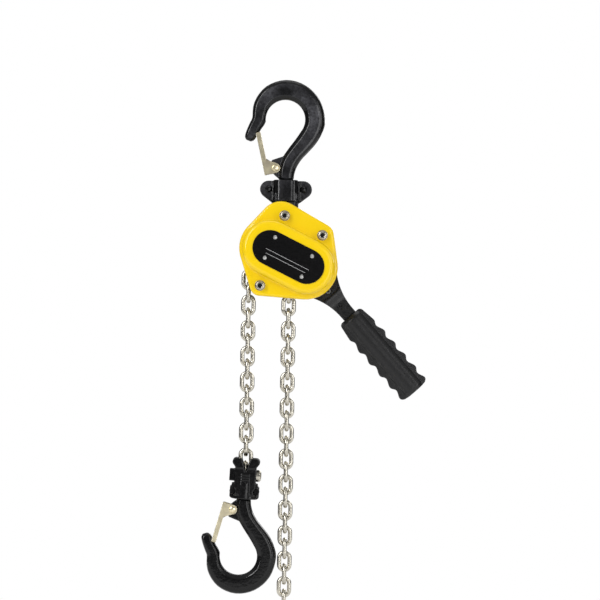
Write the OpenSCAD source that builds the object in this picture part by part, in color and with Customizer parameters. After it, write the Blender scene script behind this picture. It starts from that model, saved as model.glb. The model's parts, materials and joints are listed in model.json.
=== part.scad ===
// Mini lever chain hoist, 250 kg class, hanging from its top hook.
// Millimetres. +Z up, +X to the right of the nameplate side, +Y from the nameplate to the handwheel.
// The origin is the centre of the top hook's bowl.

/* [Hooks] */
// Inside diameter of the top hook's bowl
bowl_d = 37; // [34:0.5:40]
// Thickness of the hook across its plane
hook_thick = 14.4; // [12:0.2:16]
// Diameter of the hook's swivelling neck
neck_d = 13; // [12:0.2:14]
// Diameter of the collar that holds the hook in its yoke
collar_d = 17.6; // [16.8:0.2:18.6]
// Thickness of that collar
collar_t = 5.6; // [4.8:0.2:6]
// Size of the bottom hook as a share of the top hook
bottom_scale = 0.95; // [0.9:0.01:1]
// Diameter of the latch rivets
rivet_d = 4; // [3:0.2:4.6]
// Inside width of the latch between its ears
latch_inside = 9; // [8.6:0.1:9.6]
// Thickness of the latch's sheet
latch_t = 1.2; // [1:0.1:1.4]
// Diameter of the latch spring's wire
spring_wire = 0.9; // [0.7:0.05:1]

/* [Chain] */
// Diameter of the chain's wire
wire_d = 4; // [3.8:0.05:4.1]
// Pitch of the chain
pitch = 12; // [11.8:0.1:12.4]
// Inside width of a link
link_in_w = 5.8; // [5.6:0.1:6]
// Play between two links along the chain
link_play = 0.5; // [0.4:0.05:0.6]
// Links that hang on the load side
load_links = 18; // [14:2:24]
// Links that hang on the slack side
slack_links = 33; // [29:2:45]

/* [Body] */
// Gap between the side plates
plate_gap = 21; // [20:0.5:23]
// Thickness of a side plate
plate_t = 3; // [2.5:0.25:4]
// Thickness of the gear cover's sheet
cover_t = 1.2; // [1:0.1:1.4]
// Depth of the gear cover's flat flange in front of the plate
flange_depth = 5; // [4.5:0.5:7]
// Depth of the raised part of the gear cover in front of the plate
bump_depth = 14.5; // [13.5:0.5:18]
// Radius of the raised part's round ends
bump_r = 25.8; // [25.5:0.1:27]
// Radius of the nameplate's round ends
plate_r = 16.4; // [13:0.2:17]
// Thickness of the nameplate
nameplate_t = 0.8; // [0.5:0.1:1.2]
// Diameter of the cover screws
screw_d = 5; // [4:0.5:5]
// Diameter of the stays between the side plates
stay_d = 6.6; // [6.2:0.2:7]

/* [Drive] */
// Gear module
gear_module = 1.5; // [1.5:0.01:1.51]
// Teeth of the gear on the load sheave
load_teeth = 29; // [27:1:29]
// Teeth of the pinion
pinion_teeth = 23; // [21:1:23]
// Face width of the gears
gear_w = 6.5; // [5:0.5:7]
// Diameter of the sheave's bearing journals
journal_d = 18; // [16:0.5:19]
// Diameter of the pinion shaft's bearing journals
shaft_d = 13; // [12:0.5:14]
// Running clearance of the bearings, all round
run_fit = 0.06; // [0.03:0.01:0.09]
// Outside diameter of the friction discs
disc_d = 33; // [30:0.5:34]
// Thickness of a friction disc
disc_t = 1.5; // [1:0.1:1.8]
// Width of the ratchet wheel
ratchet_w = 3; // [2.5:0.25:3.5]
// Teeth of the ratchet wheel
ratchet_teeth = 12; // [10:1:14]
// Diameter of the handwheel
handwheel_d = 43; // [38:1:48]

/* [Lever] */
// Length of the lever from its axis to the end of the grip
lever_len = 157; // [140:1:180]
// Direction of the lever below the horizontal, in degrees
lever_angle = 48; // [40:1:60]
// Width of the lever's neck
lever_w = 14; // [13:0.2:17]
// Radius of the lever's round housing
lever_hub_r = 28; // [27:0.5:29]
// Thickness of the lever's sheet
lever_t = 1.5; // [1.2:0.1:1.8]
// Depth of the lever's housing
lever_depth = 10; // [9.5:0.5:12]
// Length of the rubber grip
grip_len = 94.5; // [85:0.5:110]
// Width of the grip over its waves
grip_w = 32; // [29:0.5:34]
// Thickness of the grip
grip_t = 24; // [22:0.5:26]
// Number of finger waves on each edge of the grip
grip_waves = 5; // [4:1:6]

/* [Tail ring] */
// Width of the tail ring at the bottom
ring_w = 47; // [40:1:55]
// Width of the tail ring at the top
ring_top_w = 36; // [32:1:40]
// Height of the tail ring below its block
ring_h = 38; // [32:1:46]
// Thickness of the tail ring's bars
ring_bar = 6; // [5:0.5:7]

/* [Hidden] */

$fn = 64;
// How far a cutter reaches past the face it opens
over = 1;
// Clearance between pieces that are bolted or laid together without touching
gap = 0.2;

black = "#161617";
rubber = "#2b2c2e";
zinc = "#b9b6ab";
yellow_zinc = "#b3a36b";
yellow = "#f5c400";
steel = "#8f9296";
bronze = "#a9793c";

// ---------- places ----------
// The hook's neck stands to the right of its bowl's centre
hook_x = 1.6;
bowl_r = bowl_d / 2;
// Top hook: neck end, collar and yoke heights below the bowl
yoke_top_z = -57;
collar_z = -62.2;
hook_end_z = collar_z - collar_t;
yoke_end_z = -77;

// Sheave axis, as [x, z]
sheave_at = [-13, -121];
// Direction from the sheave axis to the pinion axis, below the horizontal
train_angle = 25;
train_len = gear_module * (load_teeth + pinion_teeth) / 2;
drive_at = sheave_at + train_len * [cos(train_angle), -sin(train_angle)];

// Cover screws and stays
stay_points = [[0.8, -90.8], [36.4, -108.6], [-21.1, -156.4]];
// Rounded corners of the side plates and covers, counter-clockwise, as [x, z, radius]
outline_corners = [
    [-21.1, -156.4, 9.8],
    [21, -138.6, 30.4],
    [36.4, -108.6, 10.8],
    [-2.5, -97.7, 20.4],
    [-11.7, -121.2, 29.5]
];
// Ends of the gear cover's raised part
bump_a = [-12.2, -121.1];
bump_b = [22.3, -138];

// Layers along Y
plate_in = plate_gap / 2;
plate_out = plate_in + plate_t;
flange_y = -plate_out - flange_depth;
bump_y = -plate_out - bump_depth;
gear_y1 = bump_y + cover_t + 3.2;
gear_y2 = gear_y1 + gear_w;

// ---------- chain geometry ----------
wire_r = wire_d / 2;
link_in_r = link_in_w / 2;
link_line_r = link_in_r + wire_r;
link_out_r = link_in_r + wire_d;
link_leg = pitch + link_play - link_in_w;
// Distance from a link's centre to the wire of its neighbour's end, for a link that lies flat on the wheel
// and for one that stands upright
flat_half = (pitch + link_play + wire_d) / 2;
upright_half = pitch - flat_half;
pockets = 5;
step_angle = 180 / pockets;
wheel_r = sqrt(pow(flat_half, 2) + pow(upright_half, 2) + 2 * flat_half * upright_half * cos(step_angle))
    / sin(step_angle);
flat_angle = asin(flat_half / wheel_r);
// Where the last link on the wheel hands over to the hanging chain, below the sheave's axis
leave_angle = flat_angle - step_angle / 2;
// Sheave travel each way, in degrees
sheave_travel = 14.25;
fall_x = wheel_r * (1 + cos(leave_angle + sheave_travel)) / 2;
fall_top = sheave_at[1] - wheel_r * sin(leave_angle) - upright_half;
load_x = sheave_at[0] - fall_x;
slack_x = sheave_at[0] + fall_x;
groove_r = fall_x - link_out_r - 0.8;
groove_w = wire_d + 1;
pocket_floor = wheel_r * cos(flat_angle) - wire_r - 0.25;
pocket_fit = 0.5;
sheave_w = plate_gap - 2;
lobe_r = 20;

// ---------- bottom block ----------
last_link_z = fall_top - (load_links - 1) * pitch;
chain_pin_d = 4.6;
chain_pin_z = last_link_z - (pitch + link_play) / 2 + chain_pin_d / 2 + 0.2;
bowl_drop = 76.4;
bottom_bowl = [load_x - hook_x * bottom_scale, chain_pin_z - bowl_drop];
byoke_top = 16.2;
// The block hangs a little askew from its last link
block_tilt = 3; // degrees

// ---------- tail ----------
tail_link_z = fall_top - (slack_links - 1) * pitch;
tail_pin_d = 4;
tail_pin_z = tail_link_z - (pitch + link_play) / 2 + tail_pin_d / 2 + 0.2;

// ---------- brake layers along Y ----------
hub_y = plate_out + 0.6;
hub_flange = 2.4;
disc1_y = hub_y + hub_flange + 0.05;
ratchet_y = disc1_y + disc_t + 0.05;
disc2_y = ratchet_y + ratchet_w + 0.05;
press_y = disc2_y + disc_t + 0.05;
press_t = 2;
brake_in_y = press_y + press_t + 0.4;
brake_out_y = brake_in_y + 1.5;
hub_sleeve_r = shaft_d / 2 + 1.6;
ratchet_tip_r = 19;
ratchet_root_r = 16.9;

// ---------- lever layers ----------
lever_y1 = brake_out_y + 0.6;
lever_y2 = lever_y1 + lever_depth;
change_teeth = 20;
change_y1 = lever_y1 + lever_t + 0.5;
change_w = 5.5;
change_tip_r = 15;
change_root_r = 12.4;
change_neck_r = 10.5;
change_pawl_s = 31;
lever_fit = 0.3;
handwheel_y = lever_y2 + lever_t + 0.8;
handwheel_w = 11;
handwheel_r = handwheel_d / 2;
scallop_r = 6.5;
scallop_out = 4.2;
nut_y = handwheel_y + handwheel_w - 2.7;
grip_start = lever_len - grip_len;
lever_mid_y = (lever_y1 + lever_y2) / 2;

// ---------- helpers ----------
// Sheet in the XZ plane from y0 to y1, its outline drawn as [x, z]
module slab(y0, y1) {
    translate([0, y1, 0])
        rotate([90, 0, 0])
            linear_extrude(y1 - y0)
                children();
}

// Round bar along Y at p = [x, z]
module rod(p, y0, y1, r) {
    translate([p[0], y0, p[1]])
        rotate([-90, 0, 0])
            cylinder(h = y1 - y0, r = r);
}

// Ring along Y at p
module ring(p, y0, y1, r_out, r_in) {
    difference() {
        rod(p, y0, y1, r_out);
        rod(p, y0 - over, y1 + over, r_in);
    }
}

// Hexagonal bar along Y at p, af across its flats
module hex_rod(p, y0, y1, af) {
    translate([p[0], y0, p[1]])
        rotate([-90, 0, 0])
            cylinder(h = y1 - y0, d = af / cos(30), $fn = 6);
}

// Turned body about the Y axis at p, with its profile given as [radius, y]
module turned(p, profile) {
    translate([p[0], 0, p[1]])
        rotate([-90, 0, 0])
            rotate_extrude()
                polygon(profile);
}

// Puts a lever piece, drawn along +X from the drive axis, in the lever's direction
module along_lever() {
    translate([drive_at[0], 0, drive_at[1]])
        rotate([0, lever_angle, 0])
            children();
}

function arc(c, r, a0, a1, n) = [
    for (i = [0:n])
        let (a = a0 + (a1 - a0) * i / n)
        c + r * [cos(a), sin(a)]
];

// Angle of the outward normal of the line that touches circles a and b, going counter-clockwise
function touch_angle(a, b) =
    let (d = [b[0] - a[0], b[1] - a[1]])
    atan2(d[1], d[0]) - acos((a[2] - b[2]) / norm(d));

function turn_up(from, to) = to < from ? turn_up(from, to + 360) : to - from >= 360 ? to - 360 : to;

// Outline round a counter-clockwise list of circles [x, z, r], each radius less inset
function wrap_outline(c, inset = 0, n = 14) = [
    for (i = [0:len(c) - 1])
        let (
            before = c[(i + len(c) - 1) % len(c)],
            after = c[(i + 1) % len(c)],
            a0 = touch_angle(before, c[i]),
            a1 = turn_up(a0, touch_angle(c[i], after))
        )
        each arc([c[i][0], c[i][1]], c[i][2] - inset, a0, a1, n)
];

// Involute-like gear outline with straight flanks, phase in degrees
function gear_points(teeth, m, phase, thin = 0) = [
    for (i = [0:teeth - 1])
        let (
            rp = teeth * m / 2,
            ra = rp + m * 0.96,
            rf = rp - m * 1.2,
            half = (90 - thin) / teeth,
            a = phase + 360 * i / teeth
        )
        each [
            rf * [cos(a - half * 1.75), sin(a - half * 1.75)],
            rp * [cos(a - half), sin(a - half)],
            ra * [cos(a - half * 0.42), sin(a - half * 0.42)],
            ra * [cos(a + half * 0.42), sin(a + half * 0.42)],
            rp * [cos(a + half), sin(a + half)],
            rf * [cos(a + half * 1.75), sin(a + half * 1.75)]
        ]
];

module at2(p) {
    translate([p[0], p[1]])
        children();
}

// ---------- swept bodies ----------
// Point on a smooth curve through p1 and p2
function spline(p0, p1, p2, p3, t) =
    0.5 * (2 * p1 + (p2 - p0) * t + (2 * p0 - 5 * p1 + 4 * p2 - p3) * t * t
        + (3 * p1 - p0 - 3 * p2 + p3) * t * t * t);

function stations(k, per) = [
    for (i = [0:len(k) - 2])
        for (j = [0:per - 1])
            spline(k[max(i - 1, 0)], k[i], k[i + 1], k[min(i + 2, len(k) - 1)], j / per),
    k[len(k) - 1]
];

// Section of half width 1 and half thickness 1, more square than a circle
function squircle(sides, power) = [
    for (i = [0:sides - 1])
        let (a = 360 * i / sides, c = cos(a), s = sin(a))
        [sign(c) * pow(abs(c), power), sign(s) * pow(abs(s), power)]
];

// Whole section from its front half
function both_halves(h) = concat(h, [for (i = [len(h) - 2:-1:1]) [h[i][0], -h[i][1]]]);

// Faces of a closed skin over n rings of points
function skin(n, sides) = [
    for (i = [0:n - 2])
        for (j = [0:sides - 1])
            let (a = i * sides + j, b = i * sides + (j + 1) % sides)
            each [[a, b, a + sides], [b, b + sides, a + sides]],
    for (j = [1:sides - 2])
        each [[0, j + 1, j], [(n - 1) * sides, (n - 1) * sides + j, (n - 1) * sides + j + 1]]
];

// Closed body of one section through stations [x, z, half width, half thickness] in the XZ plane
module swept(st, shape) {
    n = len(st);
    function dir(i) =
        let (a = st[max(i - 1, 0)], b = st[min(i + 1, n - 1)], d = [b[0] - a[0], b[1] - a[1]])
        d / norm(d);
    points = [
        for (i = [0:n - 1])
            let (d = dir(i), side = [-d[1], d[0]])
            for (q = shape)
                [st[i][0] + side[0] * st[i][2] * q[0], st[i][3] * q[1], st[i][1] + side[1] * st[i][2] * q[0]]
    ];
    polyhedron(points, skin(n, len(shape)));
}

// Body whose outline round the corners steps in with depth: levels are [y, inset]
module loft(corners, levels, n = 10) {
    rings = [
        for (v = levels)
            [for (p = wrap_outline(corners, v[1], n)) [p[0], v[0], p[1]]]
    ];
    polyhedron([for (r = rings) each r], skin(len(levels), len(rings[0])));
}

// Levels of a rounded edge that starts at face y, with radius r
function round_edge(y, r, steps = 5) = [
    for (i = [steps:-1:0])
        [y + r * (1 - sin(90 * i / steps)), r * (1 - cos(90 * i / steps))]
];

// Torsion spring about the Y axis: one tube with a straight leg at each end
curl_rings = 8;
tube_sides = 6;
function spring_path(r, rise, turns, a0, leg0, leg1) =
    let (
        n = ceil(turns * curl_rings),
        coil = [
            for (i = [0:n])
                let (a = a0 + 360 * turns * i / n)
                [r * cos(a), rise * turns * (i / n - 0.5), r * sin(a), a]
        ],
        first = coil[0],
        last = coil[n]
    )
    concat(
        [[first[0] + leg0 * sin(a0), first[1], first[2] - leg0 * cos(a0), a0]],
        coil,
        [[last[0] - leg1 * sin(last[3]), last[1], last[2] + leg1 * cos(last[3]), last[3]]]
    );

// Least gap between stretches of the wire that aren't neighbours
function self_gap(path, wire) = min([
    for (i = [0:len(path) - 6])
        for (j = [i + 5:len(path) - 1])
            norm([path[i][0] - path[j][0], path[i][1] - path[j][1], path[i][2] - path[j][2]])
]) - wire;

module torsion_spring(path, wire) {
    points = [
        for (p = path)
            for (j = [0:tube_sides - 1])
                let (b = -360 * (j + 0.5) / tube_sides, u = wire / 2 * cos(b), v = wire / 2 * sin(b))
                [p[0] + u * cos(p[3]), p[1] + v, p[2] + u * sin(p[3])]
    ];
    polyhedron(points, skin(len(path), tube_sides));
}

// ---------- hooks ----------
// Hook stations about the bowl's centre: the neck, the back, the bowl and the tip
function bowl_station(a, hw) =
    let (r = bowl_r + hw - 0.5)
    [r * cos(a), r * sin(a), hw, hook_thick / 2 - (a > 90 ? (a - 90) / 90 * 1.1 : 0)];
neck_line = [
    [hook_x, yoke_top_z + 1, neck_d / 2 + 0.6, neck_d / 2 + 0.6],
    [hook_x + 0.2, -49.5, 7.6, 7.1],
    [4.2, -41, 8, 7.2],
    [9.4, -32.6, 8, 7.2],
    [15.6, -25, 8.5, 7.2],
    [21.7, -17, 9.1, 7.2],
    [26, -8.6, 9.4, 7.2]
];
tip_line = [
    [-28.1, -6.6, 6.1, 6],
    [-31.5, -13.6, 5.6, 5.7],
    [-33.6, -18.2, 4.6, 4.8],
    [-34.5, -20.4, 2.4, 2.6]
];
hook_line = concat(
    neck_line,
    [
        bowl_station(0, 9.7), bowl_station(30, 9.7), bowl_station(60, 9.7), bowl_station(90, 9.6),
        bowl_station(120, 9), bowl_station(150, 7.8), bowl_station(180, 6.7)
    ],
    tip_line
);
// Forged section: chamfered towards the bowl, flat in front, rounded outside
hook_shape = both_halves([
    [1, 0], [1, 0.34], [0.95, 0.56], [0.6, 0.93], [0.5, 0.99], [0.2, 1],
    [-0.4, 1], [-0.64, 0.95], [-0.87, 0.72], [-0.98, 0.38], [-1, 0]
]);
latch_pivot = [-9, -45.9];
latch_boss_r = 4.8;
boss_half = latch_inside / 2 - gap;
latch_out = latch_inside / 2 + latch_t;
// The latch's outer line, from its heel to its end on the hook's tip
latch_heel = [-18.6, -52.6];
latch_end = [-27.6, -13.2];
latch_tilt = atan2(latch_end[1] - latch_heel[1], latch_end[0] - latch_heel[0]);
latch_len = norm(latch_end - latch_heel);
latch_rim = 4.4;
spring_rise = spring_wire + 0.55;
spring_slot = spring_rise * 2.1 / 2 + spring_wire / 2 + 0.2;

module hook_body() {
    difference() {
        union() {
            swept(stations(hook_line, 4), hook_shape);
            translate([hook_x, 0, hook_end_z])
                cylinder(h = collar_t, d = collar_d);
            translate([hook_x, 0, hook_end_z + over])
                cylinder(h = yoke_top_z + 4 - hook_end_z - over, d = neck_d);
            rod(latch_pivot, -boss_half, boss_half, latch_boss_r);
            slab(-boss_half, boss_half)
                polygon([
                    latch_pivot + [-3.2, 7.5], latch_pivot + [-4.2, 2], latch_pivot + [-3.6, -3],
                    latch_pivot + [-0.6, -6.4], latch_pivot + [3.4, -9.8], [hook_x, -56],
                    [hook_x, -37], latch_pivot + [7.3, 11.1]
                ]);
        }
        rod([0, 0], -hook_thick, hook_thick, bowl_r);
        rod(latch_pivot, -hook_thick, hook_thick, rivet_d / 2);
        rod(latch_pivot, -spring_slot, spring_slot, latch_boss_r + 0.8);
        slab(-spring_slot, spring_slot)
            polygon([
                latch_pivot, latch_pivot + [2.4, 12], latch_pivot + [-6, 12], latch_pivot + [-6, 0]
            ]);
        for (y = [-hook_thick, boss_half])
            rod(latch_pivot, y, y + hook_thick - boss_half, latch_boss_r + 0.8);
        latch_seat();
    }
}

// Flat on the inner side of the tip, where the latch's end lies
module latch_seat() {
    translate([latch_heel[0], 0, latch_heel[1]])
        rotate([0, -latch_tilt, 0])
            translate([latch_len - 9, -latch_out - gap - 2, -latch_rim - 6])
                cube([9 + gap, 2 * latch_out + 2 * gap + 4, latch_rim + 6 + gap]);
}

// Point on the latch, a along its web from the heel and b in from its outer face
function on_latch(a, b) = latch_heel + [
    a * cos(latch_tilt) + b * sin(latch_tilt),
    a * sin(latch_tilt) - b * cos(latch_tilt)
];

module latch_body() {
    difference() {
        union() {
            slab(-latch_out, latch_out)
                polygon([
                    on_latch(0, 0), on_latch(0, latch_t), on_latch(latch_len - 3, latch_t),
                    on_latch(latch_len - 3, latch_rim), on_latch(latch_len, latch_rim),
                    on_latch(latch_len, 0)
                ]);
            for (y = [-latch_out, latch_inside / 2])
                slab(y, y + latch_t)
                    polygon(concat(
                        [on_latch(latch_len, 0), on_latch(0, 0)],
                        arc(latch_pivot, latch_boss_r, -86, 60, 14),
                        [on_latch(13.8, latch_rim), on_latch(latch_len, latch_rim)]
                    ));
        }
        rod(latch_pivot, -hook_thick, hook_thick, rivet_d / 2 + run_fit);
    }
}

module latch_rivet() {
    turned(latch_pivot, [
        [0, -latch_out - 1.8], [1.6, -latch_out - 1.6], [2.6, -latch_out - 1], [3, -latch_out - gap],
        [rivet_d / 2, -latch_out - gap], [rivet_d / 2, latch_out + gap],
        [3, latch_out + gap], [2.6, latch_out + 1], [1.6, latch_out + 1.6], [0, latch_out + 1.8]
    ]);
}

// The spring sits on the rivet in a slot in the hook's boss: its long leg reaches the latch's web
latch_coil = latch_spring_path(rivet_d / 2 + spring_wire / 2 + 0.35);
function latch_spring_path(r) = spring_path(r, spring_rise, 2 + (58 - 30) / 360, 30, 3.6, 15);
module latch_spring() {
    echo(latch_spring_gap = self_gap(latch_coil, spring_wire));
    translate([latch_pivot[0], 0, latch_pivot[1]])
        torsion_spring(latch_coil, spring_wire);
}

// ---------- pieces ----------
// Turns the bottom block with its hook about the middle of the chain pin
module askew() {
    translate([load_x, 0, chain_pin_z])
        rotate([0, block_tilt, 0])
            translate([-load_x, 0, -chain_pin_z])
                children();
}

module bottom_place() {
    translate([bottom_bowl[0], 0, bottom_bowl[1]])
        mirror([0, 0, 1])
            scale(bottom_scale)
                children();
}

module top_hook() color(black) hook_body();
module top_latch() color(yellow_zinc) latch_body();
module top_latch_rivet() color(yellow_zinc) latch_rivet();
module top_latch_spring() color(steel) latch_spring();
module bottom_hook() color(black) askew() bottom_place() hook_body();
module bottom_latch() color(yellow_zinc) askew() bottom_place() latch_body();
module bottom_latch_rivet() color(yellow_zinc) askew() bottom_place() latch_rivet();
module bottom_latch_spring() color(steel) askew() bottom_place() latch_spring();

// Top yoke: two halves that meet at y = 0, each with a flat tongue inside its side plate
ear_x = 16.4;
ear_z = -65.8;
foot_x = 11.8;
foot_z = -83.5;
barrel_corners = [[-4.4, -5.2, 7], [4.4, -5.2, 7], [4.4, 5.2, 7], [-4.4, 5.2, 7]];
ear_corners = [
    [hook_x - foot_x, -76.1, 2.6],
    [hook_x + foot_x, -76.1, 2.6],
    [hook_x + ear_x, ear_z, 8],
    [hook_x - ear_x, ear_z, 8]
];
tongue_t = 3;
tongue_y = plate_in - 0.15;
tongue_r = 6;
tongue_corners = [
    [stay_points[0][0], stay_points[0][1], tongue_r],
    [hook_x + 8, -72, 3.2],
    [hook_x - 8, -72, 3.2]
];

module collar_room(top_z, low_z) {
    translate([hook_x, 0, low_z])
        cylinder(h = top_z - low_z, r = collar_d / 2 + run_fit + 0.24);
}

module yoke_half(s) {
    difference() {
        intersection() {
            union() {
                translate([hook_x, 0, yoke_end_z])
                    linear_extrude(yoke_top_z - yoke_end_z)
                        polygon(wrap_outline(barrel_corners));
                slab(-4.6, 4.6)
                    union() {
                        polygon(wrap_outline(ear_corners));
                        translate([hook_x - foot_x, foot_z])
                            square([2 * foot_x, 8]);
                    }
                // Ribs where the ears meet the barrel
                for (e = [-1, 1])
                    translate([hook_x + e * 12.5 - 0.4, -5.5, yoke_end_z])
                        cube([0.8, 11, yoke_top_z - yoke_end_z - 2]);
                slab(s > 0 ? tongue_y - tongue_t : -tongue_y, s > 0 ? tongue_y : tongue_t - tongue_y)
                    polygon(wrap_outline(tongue_corners));
            }
            translate([-60, s > 0 ? 0 : -40, -120])
                cube([120, 40, 100]);
        }
        collar_room(collar_z + 0.25, hook_end_z - 0.3);
        translate([hook_x, 0, collar_z - over])
            cylinder(h = yoke_top_z - collar_z + 2 * over, r = neck_d / 2 + run_fit + 0.24);
        for (e = [-1, 1])
            rod([hook_x + e * ear_x, ear_z], -20, 20, 2.5);
        rod(stay_points[0], -20, 20, stay_d / 2 + run_fit);
    }
}

module top_yoke_front() color(black) yoke_half(-1);
module top_yoke_back() color(black) yoke_half(1);

module top_yoke_rivets() color(black) {
    for (e = [-1, 1])
        turned([hook_x + e * ear_x, ear_z], [
            [0, -6.9], [1.8, -6.6], [2.9, -5.7], [3.3, -4.6], [2.5, -4.6],
            [2.5, 4.6], [3.3, 4.6], [2.9, 5.7], [1.8, 6.6], [0, 6.9]
        ]);
}

// Side plates, drilled for the bearings and stays
module plate_outline(inset) {
    polygon(wrap_outline(outline_corners, inset));
}

module side_plate(y0) {
    difference() {
        slab(y0, y0 + plate_t)
            plate_outline(1.2);
        rod(sheave_at, y0 - over, y0 + plate_t + over, journal_d / 2 + bush_t);
        rod(drive_at, y0 - over, y0 + plate_t + over, shaft_d / 2 + bush_t);
        for (p = stay_points)
            rod(p, y0 - over, y0 + plate_t + over, screw_d / 2 + 0.1);
    }
}

bush_t = 1.6;
module side_plate_front() color(steel) side_plate(-plate_out);
module side_plate_back() color(steel) side_plate(plate_in);

// Flanged bush pressed in a side plate, s = -1 at the front plate and 1 at the back
module bush(p, d, s) {
    ring(p, s > 0 ? plate_in : -plate_out, s > 0 ? plate_out : -plate_in, d / 2 + bush_t, d / 2 + run_fit);
}

module sheave_bush_front() color(bronze) bush(sheave_at, journal_d, -1);
module sheave_bush_back() color(bronze) bush(sheave_at, journal_d, 1);
module shaft_bush_front() color(bronze) bush(drive_at, shaft_d, -1);
module shaft_bush_back() color(bronze) bush(drive_at, shaft_d, 1);

// Stay spacers keep the plates apart; the screws run through them
module stay_spacers() color(steel) {
    for (p = stay_points)
        ring(p, -plate_in, plate_in, stay_d / 2, screw_d / 2 + 0.1);
}

stay_nut_af = 8;
stay_nut_h = 3.2;
module stay_nuts() color(zinc) {
    for (p = stay_points)
        difference() {
            hex_rod(p, plate_out, plate_out + stay_nut_h, stay_nut_af);
            rod(p, plate_out - over, plate_out + stay_nut_h + over, screw_d / 2);
        }
}

// Screws: socket head on the washer, shank right through to the nut
washer_t = 1;
head_h = 4.2;
head_r = 4;
module cover_screws() color(zinc) {
    for (p = stay_points)
        difference() {
            turned(p, [
                [0, flange_y - washer_t - head_h], [head_r - 0.6, flange_y - washer_t - head_h],
                [head_r, flange_y - washer_t - head_h + 0.6], [head_r, flange_y - washer_t],
                [screw_d / 2, flange_y - washer_t], [screw_d / 2, plate_out + stay_nut_h + 1],
                [screw_d / 2 - 0.6, plate_out + stay_nut_h + 1.6], [0, plate_out + stay_nut_h + 1.6]
            ]);
            hex_rod(p, flange_y - washer_t - head_h - over, flange_y - washer_t - head_h + 2.4, 4);
        }
}

washer_r = 4.9;
module cover_washers() color(zinc) {
    for (p = stay_points)
        ring(p, flange_y - washer_t, flange_y, washer_r, screw_d / 2 + 0.15);
}

// Gear cover: a flanged pan with a raised oblong over the gears
function bump_corners(r) = [[bump_b[0], bump_b[1], r], [bump_a[0], bump_a[1], r]];
cover_edge = 2.6;
bump_edge = 4.2;
bump_flare = 1.2;
module gear_cover() color(yellow) {
    difference() {
        union() {
            loft(outline_corners, concat(round_edge(flange_y, cover_edge), [[-plate_out, 0]]));
            loft(bump_corners(bump_r), concat(
                round_edge(bump_y, bump_edge),
                [[flange_y - bump_flare, 0], [flange_y - 0.3 * bump_flare, -0.3 * bump_flare],
                    [flange_y, -bump_flare], [flange_y + cover_t / 2, -bump_flare]]
            ), 20);
        }
        slab(flange_y + cover_t, -plate_out + over)
            plate_outline(cover_t + 0.9);
        loft(bump_corners(bump_r), concat(
            [for (v = round_edge(bump_y, bump_edge)) [v[0] + cover_t, v[1] + cover_t]],
            [[flange_y + 2 * cover_t, cover_t]]
        ), 20);
        for (p = stay_points)
            rod(p, flange_y - over, flange_y + 3 * cover_t, screw_d / 2 + 0.15);
        for (p = rivet_points)
            rod(p, bump_y - over, bump_y + 3 * cover_t, 1.2);
    }
}

// Nameplate: a bare plate held by four small rivets
bump_mid = (bump_a + bump_b) / 2;
bump_dir = (bump_b - bump_a) / norm(bump_b - bump_a);
bump_side = [-bump_dir[1], bump_dir[0]];
rivet_along = 19.3;
rivet_across = 10.7;
rivet_points = [
    for (i = [-1, 1])
        for (j = [-1, 1])
            bump_mid + bump_dir * i * rivet_along + bump_side * j * rivet_across
];
module nameplate() color(black) {
    difference() {
        slab(bump_y - nameplate_t, bump_y)
            polygon(wrap_outline(bump_corners(plate_r), 0, 32));
        for (p = rivet_points)
            rod(p, bump_y - nameplate_t - over, bump_y + over, 1.2);
    }
}

module nameplate_rivets() color(zinc) {
    for (p = rivet_points)
        turned(p, [
            [0, bump_y - nameplate_t - 0.9], [1.2, bump_y - nameplate_t - 0.7], [1.9, bump_y - nameplate_t],
            [1.2, bump_y - nameplate_t], [1.2, bump_y + cover_t + 0.3], [0, bump_y + cover_t + 0.3]
        ]);
}

// ---------- sheave ----------
sheave_end_y = gear_y1 - 1.3;
module load_sheave() color(steel) {
    difference() {
        union() {
            rod(sheave_at, -sheave_w / 2, sheave_w / 2, lobe_r);
            rod(sheave_at, -plate_out - 0.4, plate_out + 0.4, journal_d / 2);
            rod(sheave_at, sheave_end_y, plate_out, 6.5);
        }
        ring(sheave_at, -groove_w / 2, groove_w / 2, lobe_r + over, groove_r);
        for (i = [0:pockets - 1])
            translate([sheave_at[0], 0, sheave_at[1]])
                rotate([0, -90 - i * 72, 0])
                    pocket_cut();
    }
}

// Pocket for a flat link, its floor square to +X
module pocket_cut() {
    for (s = [-1, 1])
        translate([pocket_floor, 0, s * link_leg / 2])
            rotate([0, 90, 0])
                cylinder(h = lobe_r, r = link_out_r + pocket_fit);
    translate([pocket_floor, -link_out_r - pocket_fit, -link_leg / 2])
        cube([lobe_r, 2 * (link_out_r + pocket_fit), link_leg]);
}

// How much thinner than half a pitch each tooth is, in parts of 90
backlash = 8.5;
load_phase = -train_angle;
pinion_phase = 180 - train_angle + 180 / pinion_teeth;
module load_gear() color(steel) {
    difference() {
        slab(gear_y1, gear_y2)
            at2(sheave_at)
                polygon(gear_points(load_teeth, gear_module, load_phase, backlash));
        rod(sheave_at, gear_y1 - over, gear_y2 + over, 6.5);
    }
}

module sheave_ring() color(steel) {
    ring(sheave_at, gear_y1 - 1.1, gear_y1 - 0.1, 7.8, 6.5);
}

// ---------- chain ----------
// One link along Z, lying in the XZ plane
module link() {
    for (s = [-1, 1])
        translate([s * link_line_r, 0, -link_leg / 2])
            cylinder(h = link_leg, r = wire_r);
    for (s = [0, 1])
        rotate([s * 180, 0, 0])
            translate([0, 0, link_leg / 2])
                rotate([90, 0, 0])
                    rotate_extrude(angle = 180)
                        translate([link_line_r, 0])
                            circle(r = wire_r);
}

// Hanging chain from the sheave: the first link stands upright, as on the wheel
module fall(x, links) {
    for (i = [0:links - 1])
        translate([x, 0, fall_top - i * pitch])
            rotate([0, 0, i % 2 == 0 ? 0 : 90])
                link();
}

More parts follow.
